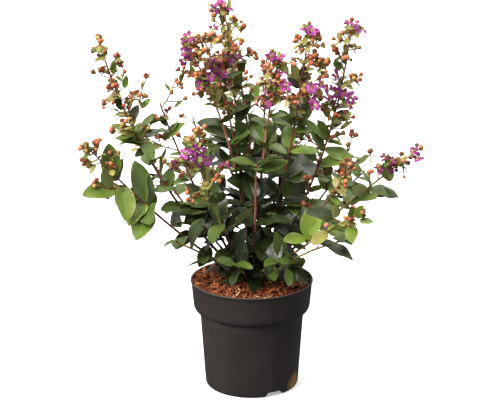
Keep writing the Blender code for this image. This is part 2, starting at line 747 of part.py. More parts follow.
def welded(mesh):
    """Draws together the points that all but meet. Says whether every edge then has a face on each side."""
    shape = bmesh.new()
    shape.from_mesh(mesh)
    bmesh.ops.triangulate(shape, faces=shape.faces)
    bmesh.ops.remove_doubles(shape, verts=shape.verts, dist=WELD)
    closed = all(len(edge.link_faces) == 2 for edge in shape.edges)
    shape.to_mesh(mesh)
    shape.free()
    return closed


def fused(mass, extras):
    """Joins the collection to the stem. Where that fails, the pieces are moved by a hair and joined again."""
    alone = mass.data.copy()
    draw = Random(3)
    for _ in range(FUSE_TRIES):
        for solver in ("EXACT", "MANIFOLD"):
            mass.data = alone.copy()
            joined(mass, "UNION", extras, solver)
            largest_body(mass)
            if welded(mass.data):
                return
        for made in extras.objects:
            made.location = shifted(draw, Vector())


def build_masses(parts, grown, meshes, stool_room, finish):
    """One fused body for each cane: its stem with every twig, leaf and bloom that was kept."""
    for cane, (_, pieces) in zip(CANES, grown):
        mass = placed("foliage_" + cane.name, meshes[cane.name, 0], parts, finish)
        extras = bpy.data.collections.new("extras_" + cane.name)
        bpy.context.scene.collection.children.link(extras)
        for number, piece in enumerate(pieces):
            if piece.kept and number:
                placed(f"{cane.name}_{number}", meshes[cane.name, number], extras)
        fused(mass, extras)
        for made in list(extras.objects):
            bpy.data.objects.remove(made)
        bpy.data.collections.remove(extras)
        if not cane.bare:
            joined(mass, "DIFFERENCE", stool_room)
            largest_body(mass)


def main():
    for old in list(bpy.data.objects):
        bpy.data.objects.remove(old)
    parts = bpy.data.collections.new("potted_crape_myrtle")
    cutters = bpy.data.collections.new("cutters")
    for collection in (parts, cutters):
        bpy.context.scene.collection.children.link(collection)
    finishes = {name: material(name) for name in COLOURS}
    pot = build_pot(parts, cutters, finishes["pot_plastic"])
    build_soil(parts, cutters, finishes["soil"])
    mulch = build_mulch(parts, finishes["bark_mulch"])
    stool = screwed("stool", stool_profile(0.0), parts, STOOL_SIDES, finishes["bark"])
    apply_modifiers(stool)
    feet = cane_feet()
    grown = [grow(cane, feet[cane.name]) for cane in CANES]
    limbs, stool_room = build_limbs(parts, cutters, [line for line, _ in grown], finishes["bark"])
    claims = [Claim(o.data, "standing") for o in (pot, mulch, *limbs.values())]
    meshes = claim_space(grown, claims)
    build_masses(parts, grown, meshes, stool_room, finishes["leaf"])


main()
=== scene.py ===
"""The looks of a potted crape myrtle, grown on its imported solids.

Metres, +Z up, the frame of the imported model. The growth rule is the one that the solids were made by, so
every cane, leaf, twig and bloom stands where its solid stands. It is carried on here to finer twigs, single
buds, bracts and crinkled petals. Shapes are gathered as arrays, each kind apart, and made into a few meshes.
"""

from bisect import bisect_right
from collections import namedtuple
from math import cos, exp, inf, pi, radians, sin, sqrt, tau
from random import Random

import bmesh
import bpy
import numpy as np
from mathutils import Matrix, Vector, noise
from mathutils.bvhtree import BVHTree


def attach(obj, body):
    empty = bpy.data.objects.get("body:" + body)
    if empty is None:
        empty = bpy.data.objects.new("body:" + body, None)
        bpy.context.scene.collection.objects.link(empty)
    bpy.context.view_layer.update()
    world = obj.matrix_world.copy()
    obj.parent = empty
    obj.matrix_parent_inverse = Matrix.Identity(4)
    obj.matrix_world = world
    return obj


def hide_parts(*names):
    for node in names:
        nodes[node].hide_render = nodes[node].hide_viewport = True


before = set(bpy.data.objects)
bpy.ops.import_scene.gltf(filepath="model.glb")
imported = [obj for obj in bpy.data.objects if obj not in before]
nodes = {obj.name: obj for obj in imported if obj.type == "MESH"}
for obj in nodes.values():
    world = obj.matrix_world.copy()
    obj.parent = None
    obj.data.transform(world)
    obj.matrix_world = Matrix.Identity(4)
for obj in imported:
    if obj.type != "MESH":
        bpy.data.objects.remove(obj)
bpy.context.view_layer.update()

# Pot: the sizes of its solid
POT_HEIGHT = 0.1715
RIM_RADIUS = 0.095
LIP_FOOT = POT_HEIGHT - 0.0040
BAND_FOOT_RADIUS = 0.0906
BAND_FOOT_HEIGHT = 0.1313
BAND_SLOPE = (RIM_RADIUS - 0.0009 - BAND_FOOT_RADIUS) / (POT_HEIGHT - 0.0028 - BAND_FOOT_HEIGHT)
NECK_RADIUS = 0.0806
NECK_HEIGHT = 0.1195
BASE_RADIUS = 0.0728
WALL = 0.0015
FLOOR = 0.0025
RECESS_COUNT = 3
RECESS_COMPASS = radians(-60.5)
RECESS_HEIGHT = 0.008
RECESS_FOOT_WIDTH = 0.0337
RECESS_ROOF_WIDTH = 0.0230
RECESS_DEPTH = 0.030
POT_SIDES = 144
CORE_SIDES = 48

# The soft bends of the pot's outer side, from the lip down: steps out and up from a corner of its profile
LIP_BEND = (
    (-0.0013, -0.00005), (-0.0007, 0.0), (-0.0001, -0.0005), (0.0001, -0.0014),
    (0.0, -0.0024), (-0.0005, -0.0032), (-0.0010, -0.0040),
)
BAND_BEND = (
    (-0.0002, -0.0010), (-0.0008, -0.0035), (-0.0019, -0.0056), (-0.0035, -0.0075), (-0.0056, -0.0091),
)
NECK_BEND = ((0.0022, 0.0015), (0.0002, 0.0008), (-0.0004, 0.0001), (0.0, -0.0012))
BASE_BEND = ((-0.0005, 0.0030), (-0.0016, 0.0012), (-0.0030, 0.0003), (-0.0045, 0.0), (-0.030, 0.0))

# Filling: its heights, the reach of its bed and chips, and the seeds and counts of the chips
MULCH_BED = 0.1600
MULCH_TOP = 0.1640
MULCH_REACH = 0.092
BED_REACH = 0.0925
BED_DROP = 0.0022
CHIP_REACH = 0.0915
CHIP_END_REACH = 0.0922
CHIP_SEED = 41
CHIP_COUNT = 3200
RIM_CHIP_COUNT = 34
STOOL_RADIUS = 0.0165
STOOL_FOOT = 0.1503
STOOL_TOP = 0.186
# The middle of an amber patch on the pot, low down near its foot
AMBER_PATCH_PLACE = (0.066, -0.034, 0.010)

# The photograph's camera: how far it is from the middle of the rim, how high it stands and looks down
PHOTO_WIDTH = 500
PHOTO_HEIGHT = 400
EYE_DISTANCE = 2.5
EYE_ASIDE = -0.0028
EYE_LIFT = radians(19.28)
EYE_TILT = radians(16.51)
LENS = 115.9
SENSOR = 36
FOCAL = LENS / SENSOR * PHOTO_WIDTH
EYE = Vector((EYE_ASIDE, -EYE_DISTANCE * cos(EYE_LIFT), POT_HEIGHT + EYE_DISTANCE * sin(EYE_LIFT)))
EYE_AHEAD = Vector((0, cos(EYE_TILT), -sin(EYE_TILT)))
EYE_ABOVE = Vector((0, sin(EYE_TILT), cos(EYE_TILT)))

# Light: of the world, and each sun's name, compass, lift, strength and softness
WORLD_LIGHT = 1.55
SUN_COLOUR = (1.0, 0.965, 0.91)
SUNS = (("key", 222, 44, 4.0, 30), ("side", 186, 18, 1.1, 60), ("top", 80, 72, 1.7, 50))
FLOOR_HALF = 30

# The growth rule of the solids
STEEP_SHARE = 0.24
FOOT_RING_LOW = 0.0132
FOOT_RING_HIGH = 0.0078
FOOT_HEIGHT_LOW = 0.1705
FOOT_HEIGHT_HIGH = 0.177
CANE_FOOT_RADIUS = 0.0023
CANE_TIP_RADIUS = 0.0013
SHOOT_RADIUS = 0.0007
BRANCH_RADIUS = 0.0006
STEM_STEP = 0.050
LEAF_TRIES = 7
NODE_GAP = 0.045
LEAF_WIDTH_SHARE = 0.54
LEAF_SINK = 0.0007
HAIR = 0.00025
SHOOT_LENGTH = 0.055
SHOOT_CHANCE = 0.35
HEAD_GAP = 0.032
HEAD_SPREAD = 0.22
ARM_MAX = 0.033
BRACT_LENGTH = 0.025
BRACT_SHARE = 0.5
BUD_RADIUS = 0.0092
BLOOM_RADIUS = 0.0125

# What is finer here than in the solids: stems and twigs
CANE_STEP = 0.004
CANE_SIDES = 9
TWIG_SIDES = 5
STALK_SIDES = 4
STALK_RADIUS = 0.0010
LONG_TWIG = 0.03
FINE_HEAD_GAP = 0.013
FINE_ARM_REACH = 0.0085
SIDE_TWIG_LENGTH = 0.012
SIDE_TWIG_REACH = 0.0075

# Leaves, buds and petals
BLADE_THICKNESS = 0.0003
BIG_LEAF = 0.027
WIDEST_LEAF = 0.036
FINE_BUD_RADIUS = 0.0038
BUD_SIDES = 8
BUD_PROFILE = ((-0.30, 0.26), (0.10, 0.42), (0.55, 0.78), (1.02, 1.0), (1.46, 0.90), (1.82, 0.52), (2.08, 0))
OPENED_SHARE = 0.07
CLUSTER_HALF = 0.0068
CLUSTER_REACH = 0.0038
CLUSTER_REACH_EACH = 0.0006
PETAL_LENGTH = 0.0135
PETALS = 6
PETAL_ROWS = 8
PETAL_COLUMNS = 7
STAMENS = 5
STAMEN_LENGTH = 0.0065
STAMEN_RADIUS = 0.0002
ANTHER_RADIUS = 0.0005
CALYX_RADIUS = 0.0024
CALYX_SINK = 0.004

# Where pieces stand: how near a solid is to be there, the share of a piece over the sky that drops it, the
# points of a leaf that are tried (along it and across), and the step between places along a cane
FIT = 0.0009
GAP_SHARE = 0.4
LEAF_MARKS = ((0.3, 0.8), (0.3, -0.8), (0.6, 0.7), (0.6, -0.7), (0.9, 0))
PLACE_STEP = 0.002
FIRST_PLACE = 0.012
OFF_CANE = 0.003

UP = Vector((0, 0, 1))
# The corners of a four-sided face, told the other way round from the same first one
OTHER_WAY = (0, 3, 2, 1)

# Which tones are dealt out: each name as often as it stands here
LEAF_ORDER = ("deep", "mid", "fresh", "lime")
BRACT_TONES = ("leaf_olive",) * 3 + ("leaf_fresh",)
BUD_TONES = ("bud_orange",) * 5 + ("bud_red",) * 4 + ("bud_brown",) * 4
BUD_TONES += ("bud_green",) * 3 + ("bud_pink",) * 3
CHIP_TONES = ("chip_brown",) * 11 + ("chip_orange",) * 5 + ("chip_dark",) * 6 + ("chip_pale",) * 2
RIM_CHIP_TONES = ("chip_brown", "chip_orange", "chip_dark")
BLOOM_TONES = ("petal_magenta", "petal_magenta", "petal_lilac", "petal_deep")
FLOWER_TONES = ("petal_magenta",) * 3 + ("petal_lilac",)
STALK_SKINS = ("skin_green", "skin_green", "skin_pink")

# Where each cane goes, as in the solids: compass in degrees, reach and top of its tip, the bow of its
# knee, the length of bare limb, of head and of a leaf, its seed, and its places in flower.
Cane = namedtuple("Cane", "name compass reach top bow bare head leaf seed blooms")
CANES = (
    Cane("right_low", 6, 0.253, 0.368, -0.02, 0.085, 0.050, 0.052, 221, ((1.0, 0), (0.5, 180))),
    Cane("right_mid", 19, 0.190, 0.330, -0.02, 0.070, 0.000, 0.046, 201, ()),
    Cane("back_right_far", 34, 0.200, 0.345, 0.03, 0.075, 0.045, 0.054, 208, ((0.8, 40),)),
    Cane("back_right", 55, 0.150, 0.470, 0.04, 0.070, 0.075, 0.056, 272, ((0.9, 60), (0.4, 20))),
    Cane("back_right_mid", 74, 0.085, 0.510, 0.02, 0.060, 0.080, 0.056, 173, ((0.8, 80), (0.3, 0))),
    Cane("back_left_mid", 108, 0.110, 0.520, 0.02, 0.060, 0.090, 0.056, 337, ((0.9, 100), (0.4, 200))),
    Cane("back_left", 130, 0.165, 0.440, 0.04, 0.070, 0.065, 0.058, 369, ((0.8, 120),)),
    Cane("back_left_far", 152, 0.215, 0.375, 0.03, 0.075, 0.045, 0.056, 213, ((0.9, 150),)),
    Cane("inner_left", 168, 0.150, 0.462, 0.06, 0.070, 0.020, 0.046, 226, ()),
    Cane("left_centre", 176, 0.095, 0.406, 0.05, 0.060, 0.035, 0.056, 232, ()),
    Cane("high_left", 180, 0.226, 0.538, 0.13, 0.080, 0.150, 0.056, 297, ()),
    Cane("low_left", 194, 0.246, 0.392, 0.06, 0.090, 0.055, 0.066, 265, ()),
    Cane("left_crown", 211, 0.106, 0.545, -0.12, 0.070, 0.100, 0.056, 420,
         ((0.75, 190), (0.5, 200), (0.5, 170), (0.2, 10))),
    Cane("mid_crown", 188, 0.076, 0.560, -0.10, 0.070, 0.070, 0.054, 273, ((0.9, 190), (0.4, 200))),
    Cane("low_left_front", 212, 0.150, 0.262, -0.06, 0.060, 0.000, 0.054, 358, ()),
    Cane("front_left", 236, 0.148, 0.405, 0.04, 0.070, 0.070, 0.050, 220,
         ((1.0, 0), (0.7, 0), (0.4, 180), (0.6, 200))),
    Cane("skirt_left", 252, 0.085, 0.222, -0.05, 0.000, 0.000, 0.046, 306, ()),
    Cane("heart_front", 276, 0.060, 0.370, 0.05, 0.000, 0.000, 0.062, 340, ()),
    Cane("skirt_right", 296, 0.085, 0.226, -0.05, 0.000, 0.000, 0.048, 398, ()),
    Cane("front_right", 318, 0.205, 0.318, -0.03, 0.075, 0.030, 0.056, 318, ()),
    Cane("low_right_front", 332, 0.152, 0.256, -0.08, 0.065, 0.000, 0.056, 431, ()),
    Cane("upper_middle", 318, 0.048, 0.508, -0.05, 0.065, 0.085, 0.054, 447,
         ((1.0, 180), (0.8, 0), (0.5, 0), (0.3, 200), (0.0, 190))),
    Cane("centre_right", 340, 0.088, 0.563, 0.05, 0.070, 0.125, 0.056, 355, ((1.0, 0), (0.3, 20))),
    Cane("right_branch", 346, 0.150, 0.352, 0.03, 0.065, 0.035, 0.056, 231, ()),
    Cane("right", 0, 0.147, 0.563, 0.12, 0.075, 0.165, 0.054, 241,
         ((1.0, 0), (0.95, 180), (0.9, 0), (0.4, 200), (0.3, 180), (0.25, 0), (0.3, 300))),
    Cane("tall_centre", 172, 0.044, 0.592, -0.10, 0.070, 0.165, 0.058, 203,
         ((1.0, 180), (0.95, 0), (0.55, 180), (0.35, 200), (0.3, 330), (0.3, 180))),
)

# How each cane differs: its leaves' tone (deep, a painted shade, for the canes in the heart and low down),
# the chance of each finer twig of its head, the most buds on one, the seeds of its smaller leaves and of
# those twigs, and the skin of its upper and lower part
Looks = namedtuple("Looks", "leaves twigs buds seed head high low", defaults=("skin_red", "bark_brown"))
LOOKS = {
    "right_low": Looks("fresh", 0.0, 3, 56, 1, "skin_green"),
    "right_mid": Looks("mid", 0.0, 4, 22, 2),
    "back_right_far": Looks("fresh", 0.0, 3, 37, 11),
    "back_right": Looks("mid", 0.4, 4, 99, 49),
    "back_right_mid": Looks("mid", 0.48, 4, 92, 51),
    "back_left_mid": Looks("mid", 0.4, 4, 35, 4),
    "back_left": Looks("mid", 0.0, 3, 108, 59),
    "back_left_far": Looks("fresh", 0.0, 3, 56, 10),
    "inner_left": Looks("fresh", 0.0, 3, 17, 10, "skin_brown"),
    "left_centre": Looks("mid", 0.16, 3, 38, 22),
    "high_left": Looks("fresh", 0.0, 2, 110, 11, "skin_brown"),
    "low_left": Looks("fresh", 0.0, 2, 110, 6, "skin_brown"),
    "left_crown": Looks("mid", 0.08, 2, 110, 6, "skin_pink"),
    "mid_crown": Looks("mid", 0.12, 2, 103, 55, "skin_pink"),
    "low_left_front": Looks("deep", 0.0, 3, 70, 15, "skin_green", "skin_brown"),
    "front_left": Looks("mid", 0.0, 2, 44, 50, "skin_green"),
    "skirt_left": Looks("deep", 0.0, 3, 61, 17, "skin_green"),
    "heart_front": Looks("deep", 0.0, 3, 52, 18, "skin_pink"),
    "skirt_right": Looks("deep", 0.0, 3, 25, 19, "skin_green"),
    "front_right": Looks("lime", 0.0, 2, 102, 20, "skin_green"),
    "low_right_front": Looks("mid", 0.0, 3, 12, 21, "skin_green", "skin_brown"),
    "upper_middle": Looks("mid", 0.08, 2, 45, 43, "skin_pink"),
    "centre_right": Looks("mid", 0.08, 2, 94, 31),
    "right_branch": Looks("mid", 0.0, 3, 36, 24),
    "right": Looks("mid", 0.0, 2, 114, 54),
    "tall_centre": Looks("mid", 0.0, 2, 15, 14, "skin_pink"),
}

# Leaves that the photograph shows clearly, by cane: x and y of foot and tip in its pixels, and the width
# there (negative where the lower face shows). Then the true length in millimetres (0 for one that lies
# square to the view, negative for one that leans away from it) and the tone.
Spot = namedtuple("Spot", "foot_x foot_y tip_x tip_y width length tone")
SPOTS = {
    "right_low": (
        (373, 190, 360, 166, 4, -40, "fresh"), (370, 195, 351, 187, -12, 36, "olive"),
        (373, 193, 398, 195, 11, 42, "deep"), (391, 181, 383, 162, -15, 36, "olive")),
    "right_mid": (
        (357, 184, 345, 207, 15, 44, "deep"),),
    "back_right_far": (
        (353, 166, 371, 155, 7, 36, "fresh"), (283, 245, 265, 257, 10, 38, "mid")),
    "back_right": (
        (284, 158, 311, 178, 16, 54, "fresh"), (286, 152, 281, 133, 15, 40, "mid"),
        (283, 131, 268, 111, 9, -44, "mid"), (291, 130, 279, 109, 13, 42, "fresh")),
    "back_left": (
        (234, 232, 196, 235, 9, 62, "deep"),),
    "inner_left": (
        (203, 212, 184, 222, 13, 42, "mid"), (224, 238, 204, 244, 5, 40, "deep"),
        (174, 107, 183, 100, 4, 0, "mid"), (160, 116, 167, 127, 6, 0, "mid"),
        (163, 140, 185, 122, 9, 0, "fresh")),
    "left_centre": (
        (215, 206, 188, 207, 8, 46, "fresh"), (210, 153, 211, 137, 6, 0, "mid")),
    "high_left": (
        (151, 189, 147, 213, 15, 45, "fresh"), (175, 187, 153, 190, 7, 40, "mid"),
        (168, 180, 150, 173, 4, -32, "mid"), (146, 146, 114, 137, 10, 52, "fresh"),
        (143, 139, 154, 160, 13, 40, "mid"), (181, 206, 161, 210, 12, 42, "mid"),
        (172, 213, 181, 226, 13, 42, "deep"), (190, 231, 176, 249, 18, 42, "deep"),
        (209, 246, 200, 267, 16, 42, "mid"), (113, 74, 114, 59, 8, 0, "fresh"),
        (141, 89, 144, 80, 3, 0, "olive"), (124, 88, 127, 75, 7, 0, "fresh"),
        (130, 121, 139, 105, 12, 0, "deep"), (123, 110, 114, 98, 7, 0, "mid"),
        (121, 104, 117, 89, 5, 0, "deep"), (141, 108, 151, 98, 6, 0, "fresh"),
        (142, 125, 154, 114, 7, 0, "mid"), (131, 132, 144, 125, 6, 0, "fresh"),
        (145, 135, 160, 130, 8, 0, "deep"), (146, 148, 134, 156, 8, 0, "mid")),
    "low_left": (
        (118, 188, 82, 194, 17, 60, "lime"), (123, 186, 125, 221, 21, 60, "lime"),
        (149, 204, 133, 160, 23, -70, "mid"), (149, 208, 135, 239, 28, 66, "fresh"),
        (113, 181, 109, 143, 23, 0, "fresh"), (116, 180, 124, 158, 8, 0, "deep")),
    "mid_crown": (
        (232, 136, 197, 122, 12, 58, "mid"), (225, 107, 221, 92, 8, 0, "deep")),
    "low_left_front": (
        (177, 239, 163, 247, 4, 32, "mid"),),
    "front_left": (
        (236, 224, 253, 207, -7, 42, "olive"), (186, 161, 166, 157, 6, 0, "olive"),
        (182, 172, 166, 163, 7, 0, "olive"), (204, 179, 203, 161, 7, 0, "mid"),
        (194, 152, 181, 141, 6, 0, "mid"), (207, 184, 206, 198, 5, 0, "fresh"),
        (214, 182, 217, 198, 7, 0, "fresh"), (200, 190, 185, 184, 8, 0, "deep")),
    "skirt_right": (
        (268, 262, 268, 280, 11, 36, "deep"), (287, 268, 289, 287, 9, 36, "mid")),
    "front_right": (
        (333, 217, 307, 212, 16, 58, "deep"), (310, 235, 321, 210, 13, 44, "lime"),
        (335, 218, 337, 205, -11, 26, "olive"), (351, 226, 353, 243, 14, 36, "lime"),
        (350, 226, 329, 231, 9, -38, "fresh"), (306, 238, 283, 239, 10, 40, "lime"),
        (357, 218, 362, 205, 10, 28, "fresh"), (353, 221, 351, 206, 6, 28, "fresh"),
        (359, 220, 374, 222, 7, 0, "fresh")),
    "low_right_front": (
        (353, 243, 332, 238, 7, 36, "mid"), (318, 241, 355, 259, 9, 62, "deep")),
    "upper_middle": (
        (262, 185, 227, 179, 19, 58, "deep"), (256, 97, 257, 83, 9, 0, "fresh")),
    "centre_right": (
        (288, 174, 263, 160, 17, 50, "mid"), (286, 200, 288, 172, 13, -48, "mid"),
        (300, 88, 287, 77, 8, 0, "deep"), (297, 79, 293, 62, 9, 0, "olive"),
        (304, 82, 304, 64, 11, 0, "deep"), (305, 119, 311, 97, 12, 0, "mid"),
        (303, 118, 319, 134, 8, 0, "mid")),
    "right": (
        (328, 140, 317, 120, 10, 40, "fresh"), (320, 163, 352, 159, 13, 54, "fresh"),
        (276, 239, 261, 226, 7, 34, "lime"), (277, 239, 265, 247, 5, 26, "lime"),
        (291, 200, 297, 215, 16, 38, "mid"), (340, 71, 335, 59, 9, 0, "mid"),
        (345, 53, 346, 42, 5, 0, "olive"), (334, 123, 342, 109, 10, 0, "deep"),
        (341, 121, 352, 112, 7, 0, "olive"), (340, 129, 353, 121, 5, 0, "olive"),
        (326, 77, 319, 70, 8, 0, "olive"), (329, 118, 322, 102, 7, 0, "olive"),
        (334, 112, 332, 98, 5, 0, "lime"), (317, 160, 300, 146, 9, 0, "mid")),
    "tall_centre": (
        (249, 142, 236, 121, 14, 46, "mid"), (252, 150, 215, 143, 14, 58, "mid"),
        (227, 162, 219, 148, 8, 0, "mid"), (253, 149, 275, 125, 16, 56, "mid"),
        (249, 122, 276, 124, 9, -46, "mid"), (223, 25, 222, 9, 6, 0, "olive"),
        (229, 40, 229, 23, 5, 0, "olive"), (232, 60, 231, 44, 11, 0, "mid"),
        (237, 92, 242, 68, 10, 0, "fresh"), (240, 74, 245, 60, 7, 0, "mid"), (255, 98, 241, 97, 9, 0, "mid")),
}

# Bud clusters and flowers that it shows clearly, by cane and in its pixels: x, y and the number of buds (0
# for a flower, -1 for a deep one)
SPRAYS = {
    "right_low": (
        (384, 158, -1), (391, 160, -1), (378, 168, -1), (393, 168, -1), (414, 150, 0), (420, 159, 0),
        (397, 160, 1), (411, 158, 3), (407, 164, 1), (404, 177, 1)),
    "back_right_far": (
        (353, 134, 5), (347, 145, 2)),
    "inner_left": (
        (175, 80, 1), (181, 84, 3), (171, 91, 2), (185, 99, 1), (169, 109, 2)),
    "high_left": (
        (100, 42, 2), (94, 49, 3), (104, 50, 3), (98, 55, 1), (117, 55, 3), (101, 70, 3), (124, 73, 3),
        (112, 83, 4), (108, 88, 3), (113, 96, 3), (106, 101, 4), (114, 103, 3), (125, 103, 3), (130, 99, 3),
        (137, 94, 3), (146, 97, 2), (147, 75, 3), (155, 118, 5), (146, 127, 4), (122, 124, 5), (112, 131, 4)),
    "low_left": (
        (81, 146, 2), (86, 149, 2), (94, 143, 2), (99, 141, 3), (97, 147, 2), (96, 151, 2), (84, 162, 4),
        (88, 165, 4), (111, 153, 3), (118, 152, 2), (113, 166, 2), (108, 158, 2), (108, 187, 3),
        (109, 196, 2), (116, 193, 2)),
    "left_crown": (
        (187, 37, 0), (183, 46, 0), (186, 53, 0), (184, 60, 0), (192, 40, 3), (192, 46, 3), (197, 37, 3),
        (198, 43, 3), (205, 35, 3), (210, 36, 3), (208, 41, 2), (215, 37, 3), (219, 40, 3), (203, 51, 3),
        (193, 56, 4), (200, 57, 3), (195, 64, 3), (178, 70, 1), (184, 68, 2), (188, 73, 2), (193, 76, 2),
        (197, 74, 2), (202, 74, 3), (206, 75, 2), (201, 84, 0), (199, 89, 4), (195, 94, 2), (211, 76, 0),
        (207, 82, 4)),
    "mid_crown": (
        (212, 58, 0), (214, 66, 0), (222, 74, 0), (208, 67, 0), (218, 60, 0), (219, 72, 0), (220, 62, 3),
        (210, 64, 2), (223, 67, 3), (217, 80, 3), (214, 87, 4), (224, 87, 1), (229, 80, 2), (214, 96, 3),
        (219, 92, 2), (214, 105, 1), (218, 103, 1), (231, 103, 2), (225, 117, 2)),
    "front_left": (
        (179, 136, 1), (191, 137, 1), (198, 131, 4), (205, 128, 1), (195, 148, 0), (201, 151, 0),
        (185, 153, 0), (192, 156, 0), (208, 160, 0), (173, 165, 0), (196, 167, 0), (185, 158, 2),
        (178, 163, 3), (190, 166, 3), (182, 176, 3), (165, 160, 2), (212, 171, 3), (216, 177, 3),
        (222, 178, 2), (226, 164, 0), (222, 168, 2), (204, 184, 1), (188, 200, 2), (196, 196, 4)),
    "front_right": (
        (361, 213, 4), (353, 227, 2)),
    "upper_middle": (
        (271, 55, 0), (281, 57, 0), (283, 71, 0), (273, 83, 0), (274, 90, 0), (287, 85, 0), (268, 90, 0),
        (265, 104, 0), (264, 62, 1), (269, 67, 2), (278, 62, 3), (284, 64, 2), (294, 61, 3), (262, 79, 1),
        (270, 75, 3), (277, 78, 2), (266, 83, 2), (281, 84, 3), (272, 95, 4), (292, 96, 2), (295, 102, 3)),
    "centre_right": (
        (309, 29, 0), (305, 29, 0), (312, 30, 0), (297, 40, 2), (294, 42, 1), (302, 43, 4), (310, 35, 3),
        (313, 39, 2), (320, 40, 2), (323, 46, 2), (315, 46, 3), (301, 62, 2), (309, 58, 2), (315, 56, 3),
        (320, 61, 3), (327, 61, 4), (325, 66, 3), (316, 66, 2), (320, 97, 3), (304, 86, 3), (304, 92, 3),
        (313, 87, 0), (312, 95, 0), (315, 106, 0), (321, 84, 0), (319, 91, 3), (325, 75, 3)),
    "right_branch": (
        (341, 164, 2), (346, 160, 2), (350, 168, 3), (342, 175, 3)),
    "right": (
        (348, 22, 0), (356, 24, 0), (362, 30, 0), (329, 88, 0), (328, 97, 0), (337, 92, 0), (345, 93, 0),
        (338, 103, 0), (335, 75, 0), (342, 33, 1), (347, 31, 2), (353, 30, 4), (350, 37, 2), (334, 39, 1),
        (341, 40, 2), (351, 46, 1), (355, 46, 1), (359, 48, 1), (337, 51, 3), (342, 54, 2), (347, 58, 3),
        (341, 82, 1), (323, 106, 3), (328, 111, 2), (341, 98, 3), (352, 98, 0), (350, 106, 0), (361, 74, 1),
        (355, 77, 3), (360, 80, 1), (347, 113, 2), (353, 117, 1), (298, 134, 4), (309, 138, 2),
        (316, 150, 1), (318, 142, 1), (332, 137, 3), (337, 133, 2), (343, 134, 1), (322, 173, 2)),
    "tall_centre": (
        (218, 3, 0), (213, 8, 0), (230, 8, 0), (213, 14, 3), (219, 12, 2), (224, 6, 1), (227, 13, 2),
        (234, 18, 3), (241, 22, 1), (243, 27, 1), (235, 24, 1), (213, 20, 1), (226, 35, 3), (222, 38, 2),
        (228, 41, 2), (224, 43, 2), (209, 52, 1), (218, 53, 2), (213, 29, 0), (224, 56, 0), (230, 64, 0),
        (228, 59, 2), (242, 41, 2), (239, 56, 0), (250, 52, 5), (255, 54, 4), (251, 76, 1), (236, 74, 2)),
}

# The canes whose flowers are all read off the photograph
READ_FLOWERS = {name for name, rows in SPRAYS.items() if any(count < 1 for _, _, count in rows)}

# Where it shows sky between the twigs and round them: x, y and radius of discs in its pixels
GAPS = (
    (165, 268, 20), (166, 239, 4), (186, 270, 9), (147, 257, 16), (124, 247, 12), (162, 194, 6),
    (171, 195, 10), (160, 203, 5), (168, 225, 9), (155, 237, 5), (126, 228, 5), (184, 252, 11),
    (194, 178, 6), (170, 150, 4), (177, 147, 4), (164, 147, 3), (145, 159, 4), (128, 152, 4), (90, 90, 14),
    (92, 71, 5), (98, 34, 5), (155, 90, 11), (160, 113, 7), (182, 98, 8), (178, 86, 5), (158, 75, 9),
    (131, 57, 8), (165, 60, 14), (163, 108, 5), (188, 110, 8), (187, 127, 9), (181, 147, 5), (197, 101, 5),
    (125, 178, 6), (205, 110, 6), (193, 23, 8), (252, 20, 8), (253, 40, 7), (264, 46, 7), (250, 66, 3),
    (255, 71, 3), (262, 113, 4), (274, 106, 4), (311, 18, 6), (314, 110, 4), (352, 68, 4), (362, 61, 8),
    (361, 95, 8), (368, 148, 5), (360, 126, 5), (360, 144, 9), (376, 137, 8), (353, 152, 3), (397, 146, 6),
    (424, 141, 5), (371, 168, 5), (376, 177, 4), (314, 195, 4), (325, 195, 5), (333, 190, 3), (344, 216, 3),
    (331, 236, 8), (320, 262, 12), (310, 255, 6), (345, 276, 15), (306, 252, 3), (374, 240, 12),
    (400, 205, 10), (246, 227, 6), (262, 221, 6), (260, 205, 4), (218, 243, 8), (168, 187, 4),
    (152, 232, 8), (194, 244, 6), (325, 252, 9), (309, 250, 6), (300, 258, 5), (128, 172, 6), (136, 160, 5),
    (402, 153, 5), (374, 157, 4), (202, 26, 8), (265, 52, 5), (351, 66, 6), (246, 244, 3), (250, 128, 3),
)


# The growth rule, as in the solids

class Line:
    """A line of straight stretches from a foot past a knee to a tip, read by the distance along it."""

    def __init__(self, foot, knee, tip, steps):
        self.foot, self.knee, self.tip, self.steps = foot, knee, tip, steps
        self.marks = [self.bezier(i / steps) for i in range(steps + 1)]
        self.runs = [0.0]
        for a, b in zip(self.marks, self.marks[1:]):
            self.runs.append(self.runs[-1] + (b - a).length)
        self.length = self.runs[-1]

    def bezier(self, t):
        return self.foot * (1 - t) ** 2 + self.knee * 2 * t * (1 - t) + self.tip * t**2

    def at(self, distance):
        """The point and the heading at a distance from the foot."""
        distance = min(max(distance, 0.0), self.length)
        i = min(bisect_right(self.runs, distance), self.steps) - 1
        share = (distance - self.runs[i]) / (self.runs[i + 1] - self.runs[i])
        t = (i + share) / self.steps
        heading = (self.knee - self.foot) * (1 - t) + (self.tip - self.knee) * t
        return self.marks[i].lerp(self.marks[i + 1], share), heading.normalized()


class Piece:
    """One twig, leaf, bud cluster or bloom, with the piece that holds it and its sizes to try in turn."""

    def __init__(self, kind, holder, *tries):
        self.kind, self.holder, self.tries = kind, holder, tries
        self.sizes = tries[0]
        self.kept = kind == "stem"


def polar(radius, compass, height):
    return Vector((radius * cos(compass), radius * sin(compass), height))


def spun(way, axis, angle):
    return Matrix.Rotation(angle, 3, axis) @ way


def scatter(draw, spread):
    """A random offset, or a random way where only its direction counts."""
    return Vector([draw.gauss(0, spread) for _ in range(3)])


def shifted(draw, point):
    """A point moved by a hair, so that no two edges meet exactly."""
    return point + scatter(draw, HAIR)


